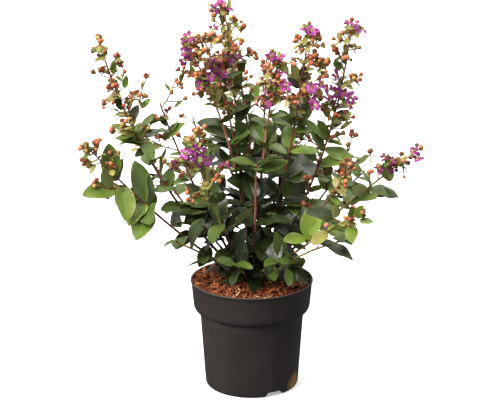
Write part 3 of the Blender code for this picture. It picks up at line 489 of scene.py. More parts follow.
def cane_feet():
    """Where each cane stands. The steep ones stand high on the stool, and the others low round them."""
    feet = {}
    rings = ((True, FOOT_RING_HIGH, FOOT_HEIGHT_HIGH), (False, FOOT_RING_LOW, FOOT_HEIGHT_LOW))
    for steep, radius, height in rings:
        ring = [cane for cane in CANES if (cane.reach < cane.top * STEEP_SHARE) == steep]
        ring.sort(key=lambda cane: cane.compass)
        spacing = 360 / len(ring)
        lead = sum(cane.compass - spacing * number for number, cane in enumerate(ring)) / len(ring)
        for number, cane in enumerate(ring):
            feet[cane.name] = polar(radius, radians(lead + spacing * number), height)
    return feet


def cane_line(cane, foot):
    """The line of a cane, from its foot on the stool to its tip."""
    tip = polar(cane.reach, radians(cane.compass), cane.top)
    chord = tip - foot
    out = polar(1, radians(cane.compass), 0)
    out = (out - chord * out.dot(chord) / chord.length_squared).normalized()
    knee = (foot + tip) / 2 + out * cane.bow * chord.length
    return Line(foot, knee, tip, round(chord.length / STEM_STEP))


def cane_radius(line, distance):
    return CANE_FOOT_RADIUS + (CANE_TIP_RADIUS - CANE_FOOT_RADIUS) * min(distance / line.length, 1)


def side_way(heading, roll):
    """The way out of a stem at right angles to it: level at roll 0, and turned round the stem by roll."""
    level = heading.cross(UP)
    level = level.normalized() if level.length > 0.05 else Vector((1, 0, 0))
    level = (level - heading * level.dot(heading)).normalized()
    return spun(level, heading, roll)


def outward(heading, roll, spread):
    """The way out of a stem at an angle to it."""
    return side_way(heading, roll) * sin(spread) + heading * cos(spread)


def leaf(draw, holder, point, heading, roll, length):
    """A leaf that stands out of a stem, its upper face to the light. Later tries turn it and are smaller."""
    tries = []
    for number in range(LEAF_TRIES):
        spread = radians(draw.gauss(58, 9))
        sag = draw.uniform(0.0, 0.32)
        turn = roll + draw.gauss(0, 0.05 + 0.3 * number)
        along = outward(heading, turn, spread) - UP * sag
        along.normalize()
        light = Vector((draw.gauss(0, 0.36), draw.gauss(-0.22, 0.36), 1)) + heading * 0.35
        face = (light - along * light.dot(along)).normalized()
        size = length * (1 - 0.08 * number)
        width = size * LEAF_WIDTH_SHARE * draw.uniform(0.85, 1.18)
        curl = draw.uniform(0.02, 0.13)
        fold = draw.uniform(0.05, 0.35)
        root = shifted(draw, point)
        tries.append(dict(root=root, along=along, face=face, length=size, width=width, curl=curl, fold=fold))
    return Piece("leaf", holder, *tries)


def leaf_length(cane, share):
    """The length of a leaf at a share of the way from the bare limb to the head."""
    return cane.leaf * (1.04 - 0.30 * share**2)


def arm_length(cane, share, least):
    """The length of a twig at a share of the way up the head."""
    return cane.head * HEAD_SPREAD * (1 - share) ** 0.8 + least


def bud_twig(draw, holder, start, heading, length, radius, lift, steps, size):
    """A side twig that starts on its holder's middle line, turns up by lift, and ends in a bud cluster."""
    start = shifted(draw, start)
    knee = start + heading * length / 2
    line = Line(start, knee, knee + (heading + UP * lift).normalized() * length / 2, steps)
    buds = BUD_RADIUS * size * draw.uniform(0.88, 1.12)
    return Piece("twig", holder, dict(line=line, radius=radius, buds=buds))


def bloom(draw, arm, compass):
    """A flower beside the bud cluster of a twig."""
    tip, heading = arm.sizes["line"].at(arm.sizes["line"].length)
    way = (heading * 0.5 + polar(1, compass, 0.55).normalized()).normalized()
    radius = BLOOM_RADIUS * draw.uniform(0.9, 1.15)
    centre = tip + heading * arm.sizes["buds"] * 0.6 + way * radius * 0.35
    return Piece("bloom", arm, dict(centre=centre, along=way, radius=radius, roll=draw.uniform(0, tau)))


def leaf_pairs(cane, line, stem, pieces):
    """The leaf pairs of a cane below its head, and the side shoots of the upper ones."""
    draw = Random(cane.seed)
    last = line.length - cane.head
    distance = cane.bare + 0.012
    number = 0
    while distance < last + 0.002:
        node = Random(cane.seed * 100 + number)
        point, heading = line.at(distance)
        roll = (number % 2) * radians(50 + 40 * heading.z) + node.gauss(0, 0.22)
        share = (distance - cane.bare) / max(last - cane.bare, 0.01)
        length = leaf_length(cane, share) * node.uniform(0.86, 1.14)
        for side in (0, pi):
            here = point + heading * node.uniform(-0.004, 0.004)
            pieces.append(leaf(node, stem, here, heading, roll + side, length * node.uniform(0.9, 1.1)))
        if share > 0.45 and cane.head and node.random() < SHOOT_CHANCE:
            shoot(node, stem, point, heading, roll + node.choice((0, pi)) + 0.5, pieces)
        distance += NODE_GAP * draw.uniform(0.86, 1.16)
        number += 1
    if not cane.head:
        point, heading = line.at(line.length - 0.002)
        for side in (0, pi):
            pieces.append(leaf(draw, stem, point, heading, side, cane.leaf * 0.7))


def shoot(draw, stem, point, heading, roll, pieces):
    """A side shoot: a twig with a small leaf and a bud cluster."""
    way = outward(heading, roll, radians(draw.uniform(38, 58)))
    length = SHOOT_LENGTH * draw.uniform(0.65, 1.15)
    arm = bud_twig(draw, stem, point, way, length, SHOOT_RADIUS, 0.5, 2, 1.0)
    pieces.append(arm)
    middle, along = arm.sizes["line"].at(length * 0.55)
    size = BRACT_LENGTH * draw.uniform(1.3, 1.8)
    pieces.append(leaf(draw, arm, middle, along, roll + draw.choice((0.4, 2.6)), size))


def flower_head(cane, line, stem, pieces):
    """The head: twigs in pairs, shorter to the tip, each with a bud cluster, and bracts in its lower part."""
    draw = Random(cane.seed + 5000)
    arms = []
    distance = line.length - cane.head + 0.008
    number = 0
    while distance < line.length - 0.012:
        node = Random(cane.seed * 100 + 50 + number)
        point, heading = line.at(distance)
        share = 1 - (line.length - distance) / cane.head
        roll = number * pi / 2 + node.gauss(0.3, 0.25)
        for side in (0, pi):
            way = outward(heading, roll + side, radians(node.uniform(48, 66)))
            length = arm_length(cane, share, 0.009) * node.uniform(0.75, 1.15)
            start = point + heading * node.uniform(-0.002, 0.002)
            size = 1.05 - 0.25 * share
            arm = bud_twig(node, stem, start, way, min(length, ARM_MAX), BRANCH_RADIUS, 0.35, 1, size)
            pieces.append(arm)
            arms.append((arm, node))
        if share < BRACT_SHARE:
            size = BRACT_LENGTH * (1.35 - 0.7 * share) * node.uniform(0.8, 1.2)
            pieces.append(leaf(node, stem, point, heading, roll + node.choice((0.6, -0.6, 2.4)), size))
        distance += HEAD_GAP * draw.uniform(0.85, 1.15)
        number += 1
    point, heading = line.at(line.length - 0.004)
    tip = bud_twig(draw, stem, point, heading, 0.007, BRANCH_RADIUS, 0.1, 1, 1.0)
    pieces.append(tip)
    arms.append((tip, draw))
    for compass, (arm, node) in nearest_arms(cane, line, arms):
        pieces.append(bloom(node, arm, compass))


def nearest_arms(cane, line, arms):
    """For each bloom, its compass and the head's free twig whose end is nearest to its place."""
    free = list(arms)
    for share, compass in cane.blooms[:len(arms)]:
        compass = radians(compass)
        middle = line.at(line.length - cane.head * (1 - share))[0]
        place = middle + polar(0.03 * (1.2 - share), compass, 0.01)
        nearest = min(free, key=lambda pair: (pair[0].sizes["line"].tip - place).length)
        free.remove(nearest)
        yield compass, nearest


def grow(cane, foot):
    """A cane's line, and the pieces of its mass. The first piece is its stem."""
    line = cane_line(cane, foot)
    stem = Piece("stem", None, dict(line=line))
    pieces = [stem]
    leaf_pairs(cane, line, stem, pieces)
    if cane.head:
        flower_head(cane, line, stem, pieces)
    return line, pieces


def marks_of(kind, sizes):
    """Points that lie on the solid of a piece, to know by them whether its solid is there."""
    if kind == "leaf":
        along, face = sizes["along"], sizes["face"]
        rise = face * (sizes["curl"] * sizes["length"])
        return [sizes["root"] + along * (sizes["length"] - LEAF_SINK) - rise]
    if kind == "twig":
        tip, heading = sizes["line"].at(sizes["line"].length)
        return [tip + heading * sizes["buds"] * 1.65]
    low = sizes["centre"] - sizes["along"] * sizes["radius"] * 0.42
    return [sizes["centre"] + sizes["along"] * sizes["radius"] * 0.30, low]


def settle(pieces, solid):
    """Keeps each piece whose solid is in its mass, with the sizes of the try that the solid took."""
    surface = BVHTree.FromPolygons(
        [v.co for v in solid.data.vertices], [tuple(p.vertices) for p in solid.data.polygons])
    for piece in pieces[1:]:
        for sizes in piece.tries if piece.holder.kept else ():
            if any(surface.find_nearest(mark, FIT)[0] is not None for mark in marks_of(piece.kind, sizes)):
                piece.sizes = sizes
                piece.kept = True
                break


# The eye of the photograph: its pixels and the places that they stand for

def pictured(point):
    """Where a point stands in the photograph, in its pixels, and how far ahead of the eye it is."""
    away = point - EYE
    ahead = away.dot(EYE_AHEAD)
    x = PHOTO_WIDTH / 2 + FOCAL * away.x / ahead
    y = PHOTO_HEIGHT / 2 - FOCAL * away.dot(EYE_ABOVE) / ahead
    return Vector((x, y)), ahead


def sight(x, y):
    """The way from the eye through a pixel, one unit ahead."""
    across = Vector((x - PHOTO_WIDTH / 2, 0, 0)) / FOCAL
    return EYE_AHEAD + across + EYE_ABOVE * (PHOTO_HEIGHT / 2 - y) / FOCAL


def on_plane(x, y, depth):
    """The point of the plane at a depth (Y) that stands at a pixel."""
    way = sight(x, y)
    return EYE + way * (depth - EYE.y) / way.y


def in_gap(points):
    """Whether GAP_SHARE or more of some points stand where the photograph shows sky."""
    spots = [pictured(point)[0] for point in points]
    inside = sum(any((spot - Vector(gap[:2])).length < gap[2] for gap in GAPS) for spot in spots)
    return inside >= len(points) * GAP_SHARE


def leaf_in_gap(sizes):
    root, along = sizes["root"], sizes["along"] * sizes["length"]
    side = sizes["face"].cross(sizes["along"]) * (sizes["width"] / 2)
    return in_gap([root + along * t + side * s for t, s in LEAF_MARKS])


def stands_in_gap(piece):
    if piece.kind == "leaf":
        return leaf_in_gap(piece.sizes)
    return in_gap([piece.sizes["line"].tip if piece.kind == "twig" else piece.sizes["centre"]])


def foot_of(piece):
    """The point where a piece starts."""
    if piece.kind == "leaf":
        return piece.sizes["root"]
    return piece.sizes["line"].foot if piece.kind == "twig" else piece.sizes["centre"]


def bare_from(line):
    """The distance along a cane from which its tip would stand alone against the sky."""
    distance = line.length
    while distance > line.length / 2 and in_gap([line.at(distance)[0]]):
        distance -= CANE_STEP
    return distance


def nearest_place(line, x, y):
    """The distance along a cane where it comes nearest to a pixel."""
    count = int((bare_from(line) - FIRST_PLACE) / PLACE_STEP)
    places = [FIRST_PLACE + PLACE_STEP * i for i in range(count)]
    return min(places, key=lambda place: (pictured(line.at(place)[0])[0] - Vector((x, y))).length)


# Small shapes, gathered as arrays

class Heap:
    """Shapes of one kind, gathered as arrays and made into one mesh."""

    def __init__(self, name, slot):
        self.name, self.slot = name, slot
        self.points, self.uvs, self.faces, self.size = [], [], {}, 0

    def add(self, parts, points, uvs, colours):
        for faces, colour in zip(parts, colours):
            self.faces.setdefault((colour, faces.shape[1]), []).append(faces + self.size)
        self.points.append(points)
        self.uvs.append(uvs)
        self.size += len(points)

    def build(self, finishes):
        mesh = bpy.data.meshes.new(self.name)
        names = sorted({colour for colour, _ in self.faces})
        faces, slots = [], []
        for (colour, _), blocks in sorted(self.faces.items()):
            block = np.concatenate(blocks)
            faces += block.tolist()
            slots += [names.index(colour)] * len(block)
        mesh.from_pydata(np.concatenate(self.points).tolist(), [], faces)
        mesh.polygons.foreach_set("material_index", slots)
        mesh.polygons.foreach_set("use_smooth", [True] * len(faces))
        layer = mesh.uv_layers.new(name="across_along")
        corners = np.empty(len(mesh.loops), np.int32)
        mesh.loops.foreach_get("vertex_index", corners)
        layer.data.foreach_set("uv", np.concatenate(self.uvs)[corners].astype(np.float32).ravel())
        for name in names:
            mesh.materials.append(finishes[name])
        made = shown(self.name, mesh)
        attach(made, "root")
        return made


def shown(name, data):
    made = bpy.data.objects.new(name, data)
    bpy.context.scene.collection.objects.link(made)
    return made


def strips(rows, columns, closed):
    """The four-sided faces between rows of points. Where closed is true, each row is a ring."""
    a = np.arange((rows - 1) * columns).reshape(rows - 1, columns)
    b = np.roll(a, -1, axis=1)
    faces = np.stack([a, b, b + columns, a + columns], axis=2)
    return (faces if closed else faces[:, :-1]).reshape(-1, 4)


def closing_fan(rings, sides):
    """The three-sided faces between the last ring of a form and the point that follows it."""
    ring = (rings - 1) * sides + np.arange(sides)
    return np.stack([ring, np.roll(ring, -1), np.full(sides, rings * sides)], axis=1)


def placed(points, along, face, origin):
    """Points turned so that X runs along and Z faces out, and moved to their origin."""
    side = face.cross(along)
    turn = np.array((along[:], side[:], face[:]))
    return points @ turn + np.array(origin[:])


def square_to(along, wish):
    """The way nearest to a wish that is at right angles to along."""
    out = wish - along * wish.dot(along)
    if out.length < 1e-4:
        out = along.cross(Vector((0.3, 0.5, 0.8)))
    return out.normalized()


class Blade:
    """The grid of a leaf's two sides. The rim is doubled, so that it is crisp."""

    def __init__(self, rows, columns):
        shares = [(i + 1) / (rows + 1) for i in range(rows)]
        shares = [0.45 * t + 0.55 * (0.5 - 0.5 * cos(pi * t)) for t in shares]
        side = [(0.0, 0.0)]
        side += [(t, 2 * j / (columns - 1) - 1) for t in shares for j in range(columns)]
        side += [(1.0, 0.0)]
        last = len(side) - 1
        fans = [(0, 1 + j, 2 + j) for j in range(columns - 1)]
        fans += [(last, last - columns + j + 1, last - columns + j) for j in range(columns - 1)]
        fans, grid = np.array(fans), strips(rows, columns, False)[:, OTHER_WAY] + 1
        self.parts = [grid, fans, grid[:, ::-1] + len(side), fans[:, ::-1] + len(side)]
        both = np.array(side + side)
        self.t, self.s = both[:, 0], both[:, 1]
        self.under = np.arange(len(both)) > last
        self.uvs = np.stack([self.s / 2 + 0.5, self.t], axis=1)

    def shaped(self, sizes, draw):
        """The points of a leaf: a pointed oval, folded, curling, waved and a little twisted."""
        t, s, length, width = self.t, self.s, sizes["length"], sizes["width"]
        swell = np.clip(np.sin(pi * t**0.86), 0, 1)
        half = width / 2 * swell ** (0.55 + 0.25 * t**2)
        x = length * t
        y = s * half + draw.uniform(-0.06, 0.06) * length * t**2
        wave = np.sin(tau * (t * draw.uniform(1.1, 2.3) + draw.random()) + s * draw.uniform(0.2, 1.4))
        z = np.abs(s) ** 1.4 * half * sizes["fold"] - sizes["curl"] * length * t**2
        z += wave * s**2 * width * 0.04 - s**2 * width * draw.uniform(0.0, 0.06)
        z += np.sin(pi * t) * length * draw.uniform(0.0, 0.04)
        twist = draw.gauss(0, 0.20) * t
        y, z = y * np.cos(twist) - z * np.sin(twist), y * np.sin(twist) + z * np.cos(twist)
        z = z - self.under * BLADE_THICKNESS * (1 - s**2) * np.clip(swell * 3, 0, 1)
        return np.stack([x, y, z], axis=1)


BIG_BLADE = Blade(10, 7)
SMALL_BLADE = Blade(5, 5)


def add_leaf(heap, sizes, draw, tone):
    blade = BIG_BLADE if sizes["length"] > BIG_LEAF else SMALL_BLADE
    points = placed(blade.shaped(sizes, draw), sizes["along"], sizes["face"], sizes["root"])
    under = "under_dark" if tone in ("leaf_deep", "leaf_mid") else "under_pale"
    heap.add(blade.parts, points, blade.uvs, (tone, tone, under, under))


def turned_form(profile, sides, ridge):
    """A turned shape with X as its axis: rings of a height and a radius, closed by a point at the end."""
    rings = len(profile) - 1
    points, uvs = [], []
    for i, (height, radius) in enumerate(profile[:-1]):
        for j in range(sides):
            angle = tau * j / sides
            out = radius * (1 + ridge * cos(sides / 2 * angle))
            points.append((height, out * cos(angle), out * sin(angle)))
            uvs.append((j / sides, i / rings))
    points.append((profile[-1][0], 0, 0))
    uvs.append((0.5, 1))
    return np.array(points), np.array(uvs), [strips(rings, sides, True), closing_fan(rings, sides)]


BUD = turned_form(BUD_PROFILE, BUD_SIDES, 0.03)


def add_bud(heap, root, heading, radius, draw, tone, stretch=1.0):
    points, uvs, parts = BUD
    stretch = np.array((stretch * draw.uniform(0.92, 1.12), 1, 1)) * radius
    face = square_to(heading, scatter(draw, 1))
    heap.add(parts, placed(points * stretch, heading, face, root), uvs, (tone, tone))


def taper(foot, tip, count):
    """Radii that change evenly from a foot to a tip."""
    return [foot + (tip - foot) * i / (count - 1) for i in range(count)]


def tube(heap, points, radii, sides, colours):
    """A tube through points, which ends in a short tip. There is one colour for each stretch, or for all."""
    count = len(points)
    ways = [(points[min(i + 1, count - 1)] - points[max(i - 1, 0)]).normalized() for i in range(count)]
    across = square_to(ways[0], Vector((0.2, 0.9, 0.35)))
    rings = np.empty((count * sides + 1, 3))
    for i, (point, way, radius) in enumerate(zip(points, ways, radii)):
        across = square_to(way, across)
        other = way.cross(across)
        for j in range(sides):
            angle = tau * j / sides
            spot = point + (across * cos(angle) + other * sin(angle)) * radius
            rings[i * sides + j] = spot[:]
    rings[-1] = (points[-1] + ways[-1] * radii[-1] * 0.7)[:]
    uvs = [(j / sides, i / (count - 1)) for i in range(count) for j in range(sides)] + [(0.5, 1)]
    faces = strips(count, sides, True)
    skins = np.array([colours[min(i, len(colours) - 1)] for i in range(count - 1) for _ in range(sides)])
    kinds = list(dict.fromkeys(skins.tolist()))
    parts = [faces[skins == kind] for kind in kinds] + [closing_fan(count, sides)]
    heap.add(parts, rings, np.array(uvs), [*kinds, colours[-1]])


def petal_points(draw, claw):
    """A crinkled petal on a thin claw, along X, with its ruffles up and down."""
    points, uvs = [], []
    phase = draw.uniform(0, tau)
    lean = draw.gauss(0, 0.10)
    for i in range(PETAL_ROWS):
        t = i / (PETAL_ROWS - 1)
        blade = max(t - claw, 0) / (1 - claw)
        half = 0.03 + 0.33 * sqrt(max(1 - (2 * blade - 0.95) ** 2, 0)) * (blade > 0)
        for j in range(PETAL_COLUMNS):
            s = 2 * j / (PETAL_COLUMNS - 1) - 1
            ruffle = 0.14 * sin(phase + 6 * s + 4 * blade) + 0.10 * sin(2 * phase + 9 * blade + 4 * s)
            ragged = 1 + 0.20 * sin(5 * phase + 8 * s) * blade
            points.append((t * ragged, s * half * ragged + lean * t * t, ruffle * blade**0.5 - 0.25 * t**3))
            uvs.append((j / (PETAL_COLUMNS - 1), t))
    return np.array(points), np.array(uvs), strips(PETAL_ROWS, PETAL_COLUMNS, False)[:, OTHER_WAY]


def add_flower(heaps, centre, along, size, tone, draw):
    """Crinkled petals round a calyx, with a tuft of stamens."""
    first = square_to(along, scatter(draw, 1))
    for k in range(PETALS):
        points, uvs, faces = petal_points(draw, draw.uniform(0.28, 0.40))
        out = spun(first, along, tau * k / PETALS + draw.gauss(0, 0.16))
        tilt = draw.gauss(0.35, 0.30)
        way = (out * cos(tilt) + along * sin(tilt)).normalized()
        length = PETAL_LENGTH * size * draw.uniform(0.82, 1.15)
        heaps["petals"].add([faces], placed(points * length, way, square_to(way, along), centre), uvs, [tone])
    for k in range(STAMENS):
        out = spun(first, along, tau * k / STAMENS)
        tip = centre + along * STAMEN_LENGTH * draw.uniform(0.8, 1.2) + out * draw.uniform(0.001, 0.003)
        tube(heaps["stalks"], [centre, tip], [STAMEN_RADIUS * 1.1, STAMEN_RADIUS], 3, ["stamen"])
        add_bud(heaps["buds"], tip, along, ANTHER_RADIUS, draw, "stamen")
    add_bud(heaps["buds"], centre - along * CALYX_SINK, along, CALYX_RADIUS, draw, "bud_green")


def add_bloom(heaps, sizes, draw):
    """Two flowers in the place of a bloom of the solid, turned different ways."""
    tone = draw.choice(BLOOM_TONES)
    for _ in range(2):
        lean = scatter(draw, 0.5)
        along = (sizes["along"] + lean).normalized()
        centre = sizes["centre"] + along * sizes["radius"] * 0.25 + lean * sizes["radius"] * 0.6
        own = tone if draw.random() < 0.7 else "petal_magenta"
        add_flower(heaps, centre, along, sizes["radius"] / BLOOM_RADIUS * draw.uniform(0.5, 0.68), own, draw)


def add_star(heap, centre, heading, radius, draw):
    """An opened calyx: dry lobes spread round its end, as many as a flower has petals."""
    first = square_to(heading, scatter(draw, 1))
    for k in range(PETALS):
        out = spun(first, heading, tau * k / PETALS)
        way = (out * draw.uniform(0.6, 1.1) + heading * 0.8).normalized()
        add_bud(heap, centre, way, radius * 0.42, draw, "bud_brown", 2.0)


def add_cyme(heaps, tip, heading, reach, count, draw):
    """A cluster of buds on short curved stalks, the first straight on from its twig, the others round it."""
    first = square_to(heading, scatter(draw, 1))
    for k in range(count):
        if k == 0:
            way = (heading + first * draw.gauss(0, 0.15)).normalized()
            length = reach * draw.uniform(0.8, 1.25)
        else:
            out = spun(first, heading, tau * k / max(count - 1, 1) + draw.gauss(0, 0.35))
            lean = radians(draw.uniform(35, 85))
            way = (heading * cos(lean) + out * sin(lean)).normalized()
            length = reach * draw.uniform(0.5, 1.1)
        knee = tip + way * length * 0.6
        end = knee + (way + heading * 0.7 + UP * 0.25).normalized() * length * 0.4
        radius = FINE_BUD_RADIUS * draw.uniform(0.74, 1.14)
        radii = [STALK_RADIUS, STALK_RADIUS * 0.8, STALK_RADIUS]
        tube(heaps["stalks"], [tip, knee, end], radii, STALK_SIDES, [draw.choice(STALK_SKINS)])
        turn = (end - knee).normalized()
        if draw.random() < OPENED_SHARE:
            add_star(heaps["buds"], end, turn, radius, draw)
        else:
            add_bud(heaps["buds"], end - turn * 0.0005, turn, radius, draw, draw.choice(BUD_TONES))


def bract(heaps, draw, point, heading, roll, length):
    """A small leaf by a twig or a head, left out where the photograph shows sky."""
    piece = leaf(draw, None, point, heading, roll, length)
    if not leaf_in_gap(piece.sizes):
        add_leaf(heaps["leaves"], piece.sizes, draw, draw.choice(BRACT_TONES))


def leaf_tone(cane, sizes, share, draw):
    """The tone of a leaf: darker in the heart and low down as painted shade, fresher outside and at the top.
    """
    middle = sizes["root"] + sizes["along"] * sizes["length"] / 2
    out = sqrt(middle.x**2 + middle.y**2)
    rank = LEAF_ORDER.index(LOOKS[cane.name].leaves)
    # Painted shade: darker steps in the heart, and low in the heart a tone no lighter than deep or mid
    rank += (share > 0.72) - (out < 0.10 and middle.z < 0.36) - (out < 0.08 and middle.z < 0.29)
    rank += draw.choice((-1, 0, 0, 0, 1))
    highest = 0 if middle.z < 0.235 and out < 0.12 else 1 if middle.z < 0.28 and out < 0.12 else 3
    return "leaf_" + LEAF_ORDER[min(max(rank, 0), highest)]


# Leaves, buds and flowers at the places that the photograph shows

def spray_start(starts, x, y):
    """The start for a twig to a pixel: near by, at half a right angle to what it grows from, and below it."""
    def strain(start):
        point, heading = start
        here = pictured(point)[0]
        out = Vector((x, y)) - here
        ahead = pictured(point + heading * 0.01)[0] - here
        turn = abs(out.angle(ahead, 0.0) - pi / 4) / (pi / 4)
        fall = out.angle(Vector((0, -1)), 0.0) / (pi / 2)
        return out.length * (1 + 0.6 * turn + 0.5 * fall) if out.length > 3 else out.length
    return min(starts, key=strain)


def sprays(cane, line, heaps):
    """The bud clusters and flowers of SPRAYS on this cane, each on a twig of the cane or of another twig."""
    draw = Random(cane.seed + 60)
    low, high = max(line.length - cane.head - 0.06, 0.03), bare_from(line)
    starts = [line.at(low + PLACE_STEP * i) for i in range(int((high - low) / PLACE_STEP))]
    rows = SPRAYS.get(cane.name, ())
    off = {row: min((pictured(at)[0] - Vector(row[:2])).length for at, _ in starts) for row in rows}
    for x, y, count in sorted(rows, key=off.get):
        start, heading = spray_start(starts, x, y)
        spot = on_plane(x, y, start.y + draw.gauss(0, 0.006) - 0.010 * (count < 1))
        way = ((spot - start).normalized() + UP * 0.3).normalized()
        end = spot - way * (CLUSTER_HALF if count > 0 else 0.002)
        if (end - start).length > OFF_CANE:
            spray_twig(heaps, starts, start, heading, end, LOOKS[cane.name].high, draw)
        if count > 0:
            add_cyme(heaps, end, way, CLUSTER_REACH + CLUSTER_REACH_EACH * count, count, draw)
            continue
        tone = "petal_deep" if count else draw.choice(FLOWER_TONES)
        out = Vector((draw.gauss(0, 0.4), draw.gauss(-0.35, 0.4), draw.gauss(0.25, 0.3)))
        add_flower(heaps, end, (way * 0.5 + out).normalized(), draw.uniform(0.54, 0.72), tone, draw)


def spray_twig(heaps, starts, start, heading, end, bark, draw):
    """The twig of a cluster, with its bracts. Other twigs may start from it."""
    knee = (start + end) / 2 - (heading + UP * 0.3) * (end - start).length * 0.08
    twig = Line(start, knee, end, 4)
    skin = draw.choice(("skin_green", "skin_green", bark))
    tube(heaps["stalks"], twig.marks, taper(0.0011, 0.0009, 5), TWIG_SIDES, [skin])
    starts += [twig.at(twig.length * share) for share in (0.35, 0.55, 0.75)]
    for share in (0.45, 0.8):
        at, heading = twig.at(twig.length * draw.uniform(share - 0.2, share))
        size = draw.uniform(0.009, 0.019)
        if draw.random() < 0.7:
            bract(heaps, draw, at, heading, draw.uniform(0, tau), size)


def read_leaf(line, place, spot):
    """The sizes of a leaf that looks as in the photograph: it leans until its length is the true one."""
    root = on_plane(spot.foot_x, spot.foot_y, line.at(place)[0].y)
    way = sight(spot.tip_x, spot.tip_y)
    flat = EYE + way * pictured(root)[1] - root
    size = max(abs(spot.length) / 1000, flat.length * 1.02)
    part = flat.dot(way)
    swing = sqrt(part**2 - way.length_squared * (flat.length_squared - size**2))
    along = (flat + way * (-part + (swing if spot.length < 0 else -swing)) / way.length_squared).normalized()
    view = (EYE - root).normalized()
    axis = (pictured(root + along * size)[0] - pictured(root)[0]).normalized()

    def miss(roll):
        """How far a leaf turned by roll is from the width that shows, and from lying level."""
        face = spun(square_to(along, UP), along, radians(roll))
        if (face.dot(view) > 0) != (spot.width > 0):
            return inf
        edge = face.cross(along) * size * LEAF_WIDTH_SHARE / 2
        span = pictured(root + edge)[0] - pictured(root - edge)[0]
        width = abs(span.x * axis.y - span.y * axis.x)
        steep = 7 * max(0.0, 0.30 - face.z) if spot.width > 0 else 0
        return abs(width - abs(spot.width)) + abs(roll) * 0.001 + steep

    best = min(range(-170, 190, 10), key=miss)
    return root, along, spun(square_to(along, UP), along, radians(best)), size


def spot_leaves(cane, line, heaps):
    """The leaves of SPOTS on this cane, each on a short twig where it stands off the cane."""
    draw = Random(cane.seed + 40)
    for row in SPOTS.get(cane.name, ()):
        spot = Spot(*row)
        place = nearest_place(line, spot.foot_x, spot.foot_y)
        root, along, face, size = read_leaf(line, place, spot)
        point, _ = line.at(place)
        if (root - point).length > OFF_CANE:
            low, _ = line.at(place - 0.006)
            bends = [low, point.lerp(root, 0.6), root]
            tube(heaps["stalks"], bends, taper(0.0010, 0.0008, 3), TWIG_SIDES, [LOOKS[cane.name].high])
        flat = 0.25 if abs(spot.width) < 9 else 1
        width = min(size * LEAF_WIDTH_SHARE, WIDEST_LEAF)
        curl, fold = draw.uniform(0.01, 0.06) * flat, draw.uniform(0.10, 0.30) * flat
        sizes = dict(root=root, along=along, face=face, length=size, width=width, curl=curl, fold=fold)
        add_leaf(heaps["leaves"], sizes, draw, "leaf_" + spot.tone)


# Each cane in its fine form

def add_cane(cane, line, heaps):
    """The stem from its foot on the stool to its tip, with the relief of its bark."""
    draw = Random(cane.seed + 11)
    looks = LOOKS[cane.name]
    points, radii, colours = [], [], []
    distance = 0.0
    phase = draw.uniform(0, 100)
    end = bare_from(line)
    while distance < end:
        rough = noise.noise(Vector((phase, distance * 160, 0))) * 0.10
        rough += noise.noise(Vector((phase, distance * 35, 5))) * 0.12
        flare = 1 + 0.55 * exp(-distance / 0.010)
        points.append(line.at(distance)[0])
        radii.append(cane_radius(line, distance) * (1 + rough) * flare)
        share = distance / line.length + draw.gauss(0, 0.02)
        colours.append(looks.low if share < 0.42 else looks.high)
        distance += CANE_STEP
    points.append(line.at(end)[0])
    radii.append(cane_radius(line, end) * 0.8)
    tube(heaps["canes"], points, radii, CANE_SIDES, colours)


def fine_head(cane, line, heaps):
    """The head carried to finer twigs: more of them between those of the solid, within the same reach."""
    looks = LOOKS[cane.name]
    draw = Random(looks.head)
    distance = line.length - cane.head - 0.010
    number = 0
    while distance < line.length - 0.006:
        point, heading = line.at(distance)
        share = min(max(1 - (line.length - distance) / cane.head, 0), 1)
        roll = number * 1.25 + draw.gauss(0, 0.3)
        for side in (0, pi):
            way = outward(heading, roll + side, radians(draw.uniform(40, 66)))
            length = arm_length(cane, share, 0.007) * draw.uniform(0.45, 1.0)
            reach = min(length, ARM_MAX)
            arm = bud_twig(draw, None, point, way, reach, BRANCH_RADIUS, 0.5, 3, 1.0).sizes["line"]
            if draw.random() < looks.twigs and not in_gap([arm.tip]):
                tube(heaps["stalks"], arm.marks, taper(0.0010, 0.0007, 4), TWIG_SIDES, ["skin_green"])
                end, along = arm.at(length)
                add_cyme(heaps, end, along, FINE_ARM_REACH, draw.randint(2, looks.buds), draw)
            if draw.random() < 0.75:
                size = BRACT_LENGTH * draw.uniform(0.45, 0.95) * (1.25 - 0.6 * share)
                bract(heaps, draw, point, heading, roll + side + 0.3, size)
        distance += FINE_HEAD_GAP * draw.uniform(0.8, 1.2)
        number += 1


def fine_leaves(cane, line, heaps):
    """Smaller leaves between the pairs of the solid."""
    draw = Random(LOOKS[cane.name].seed)
    distance = max(cane.bare - 0.045, 0.015)
    last = line.length - cane.head
    number = 0
    while distance < last:
        point, heading = line.at(distance)
        share = min(max((distance - cane.bare) / max(last - cane.bare, 0.01), 0), 1)
        for side in (0, pi):
            length = draw.uniform(0.50, 0.86) * leaf_length(cane, share)
            piece = leaf(draw, None, point, heading, number * 1.4 + side + draw.gauss(0, 0.2), length)
            if draw.random() < 0.8 and not leaf_in_gap(piece.sizes):
                add_leaf(heaps["leaves"], piece.sizes, draw, leaf_tone(cane, piece.sizes, share, draw))
        distance += NODE_GAP * draw.uniform(0.7, 1.0)
        number += 1


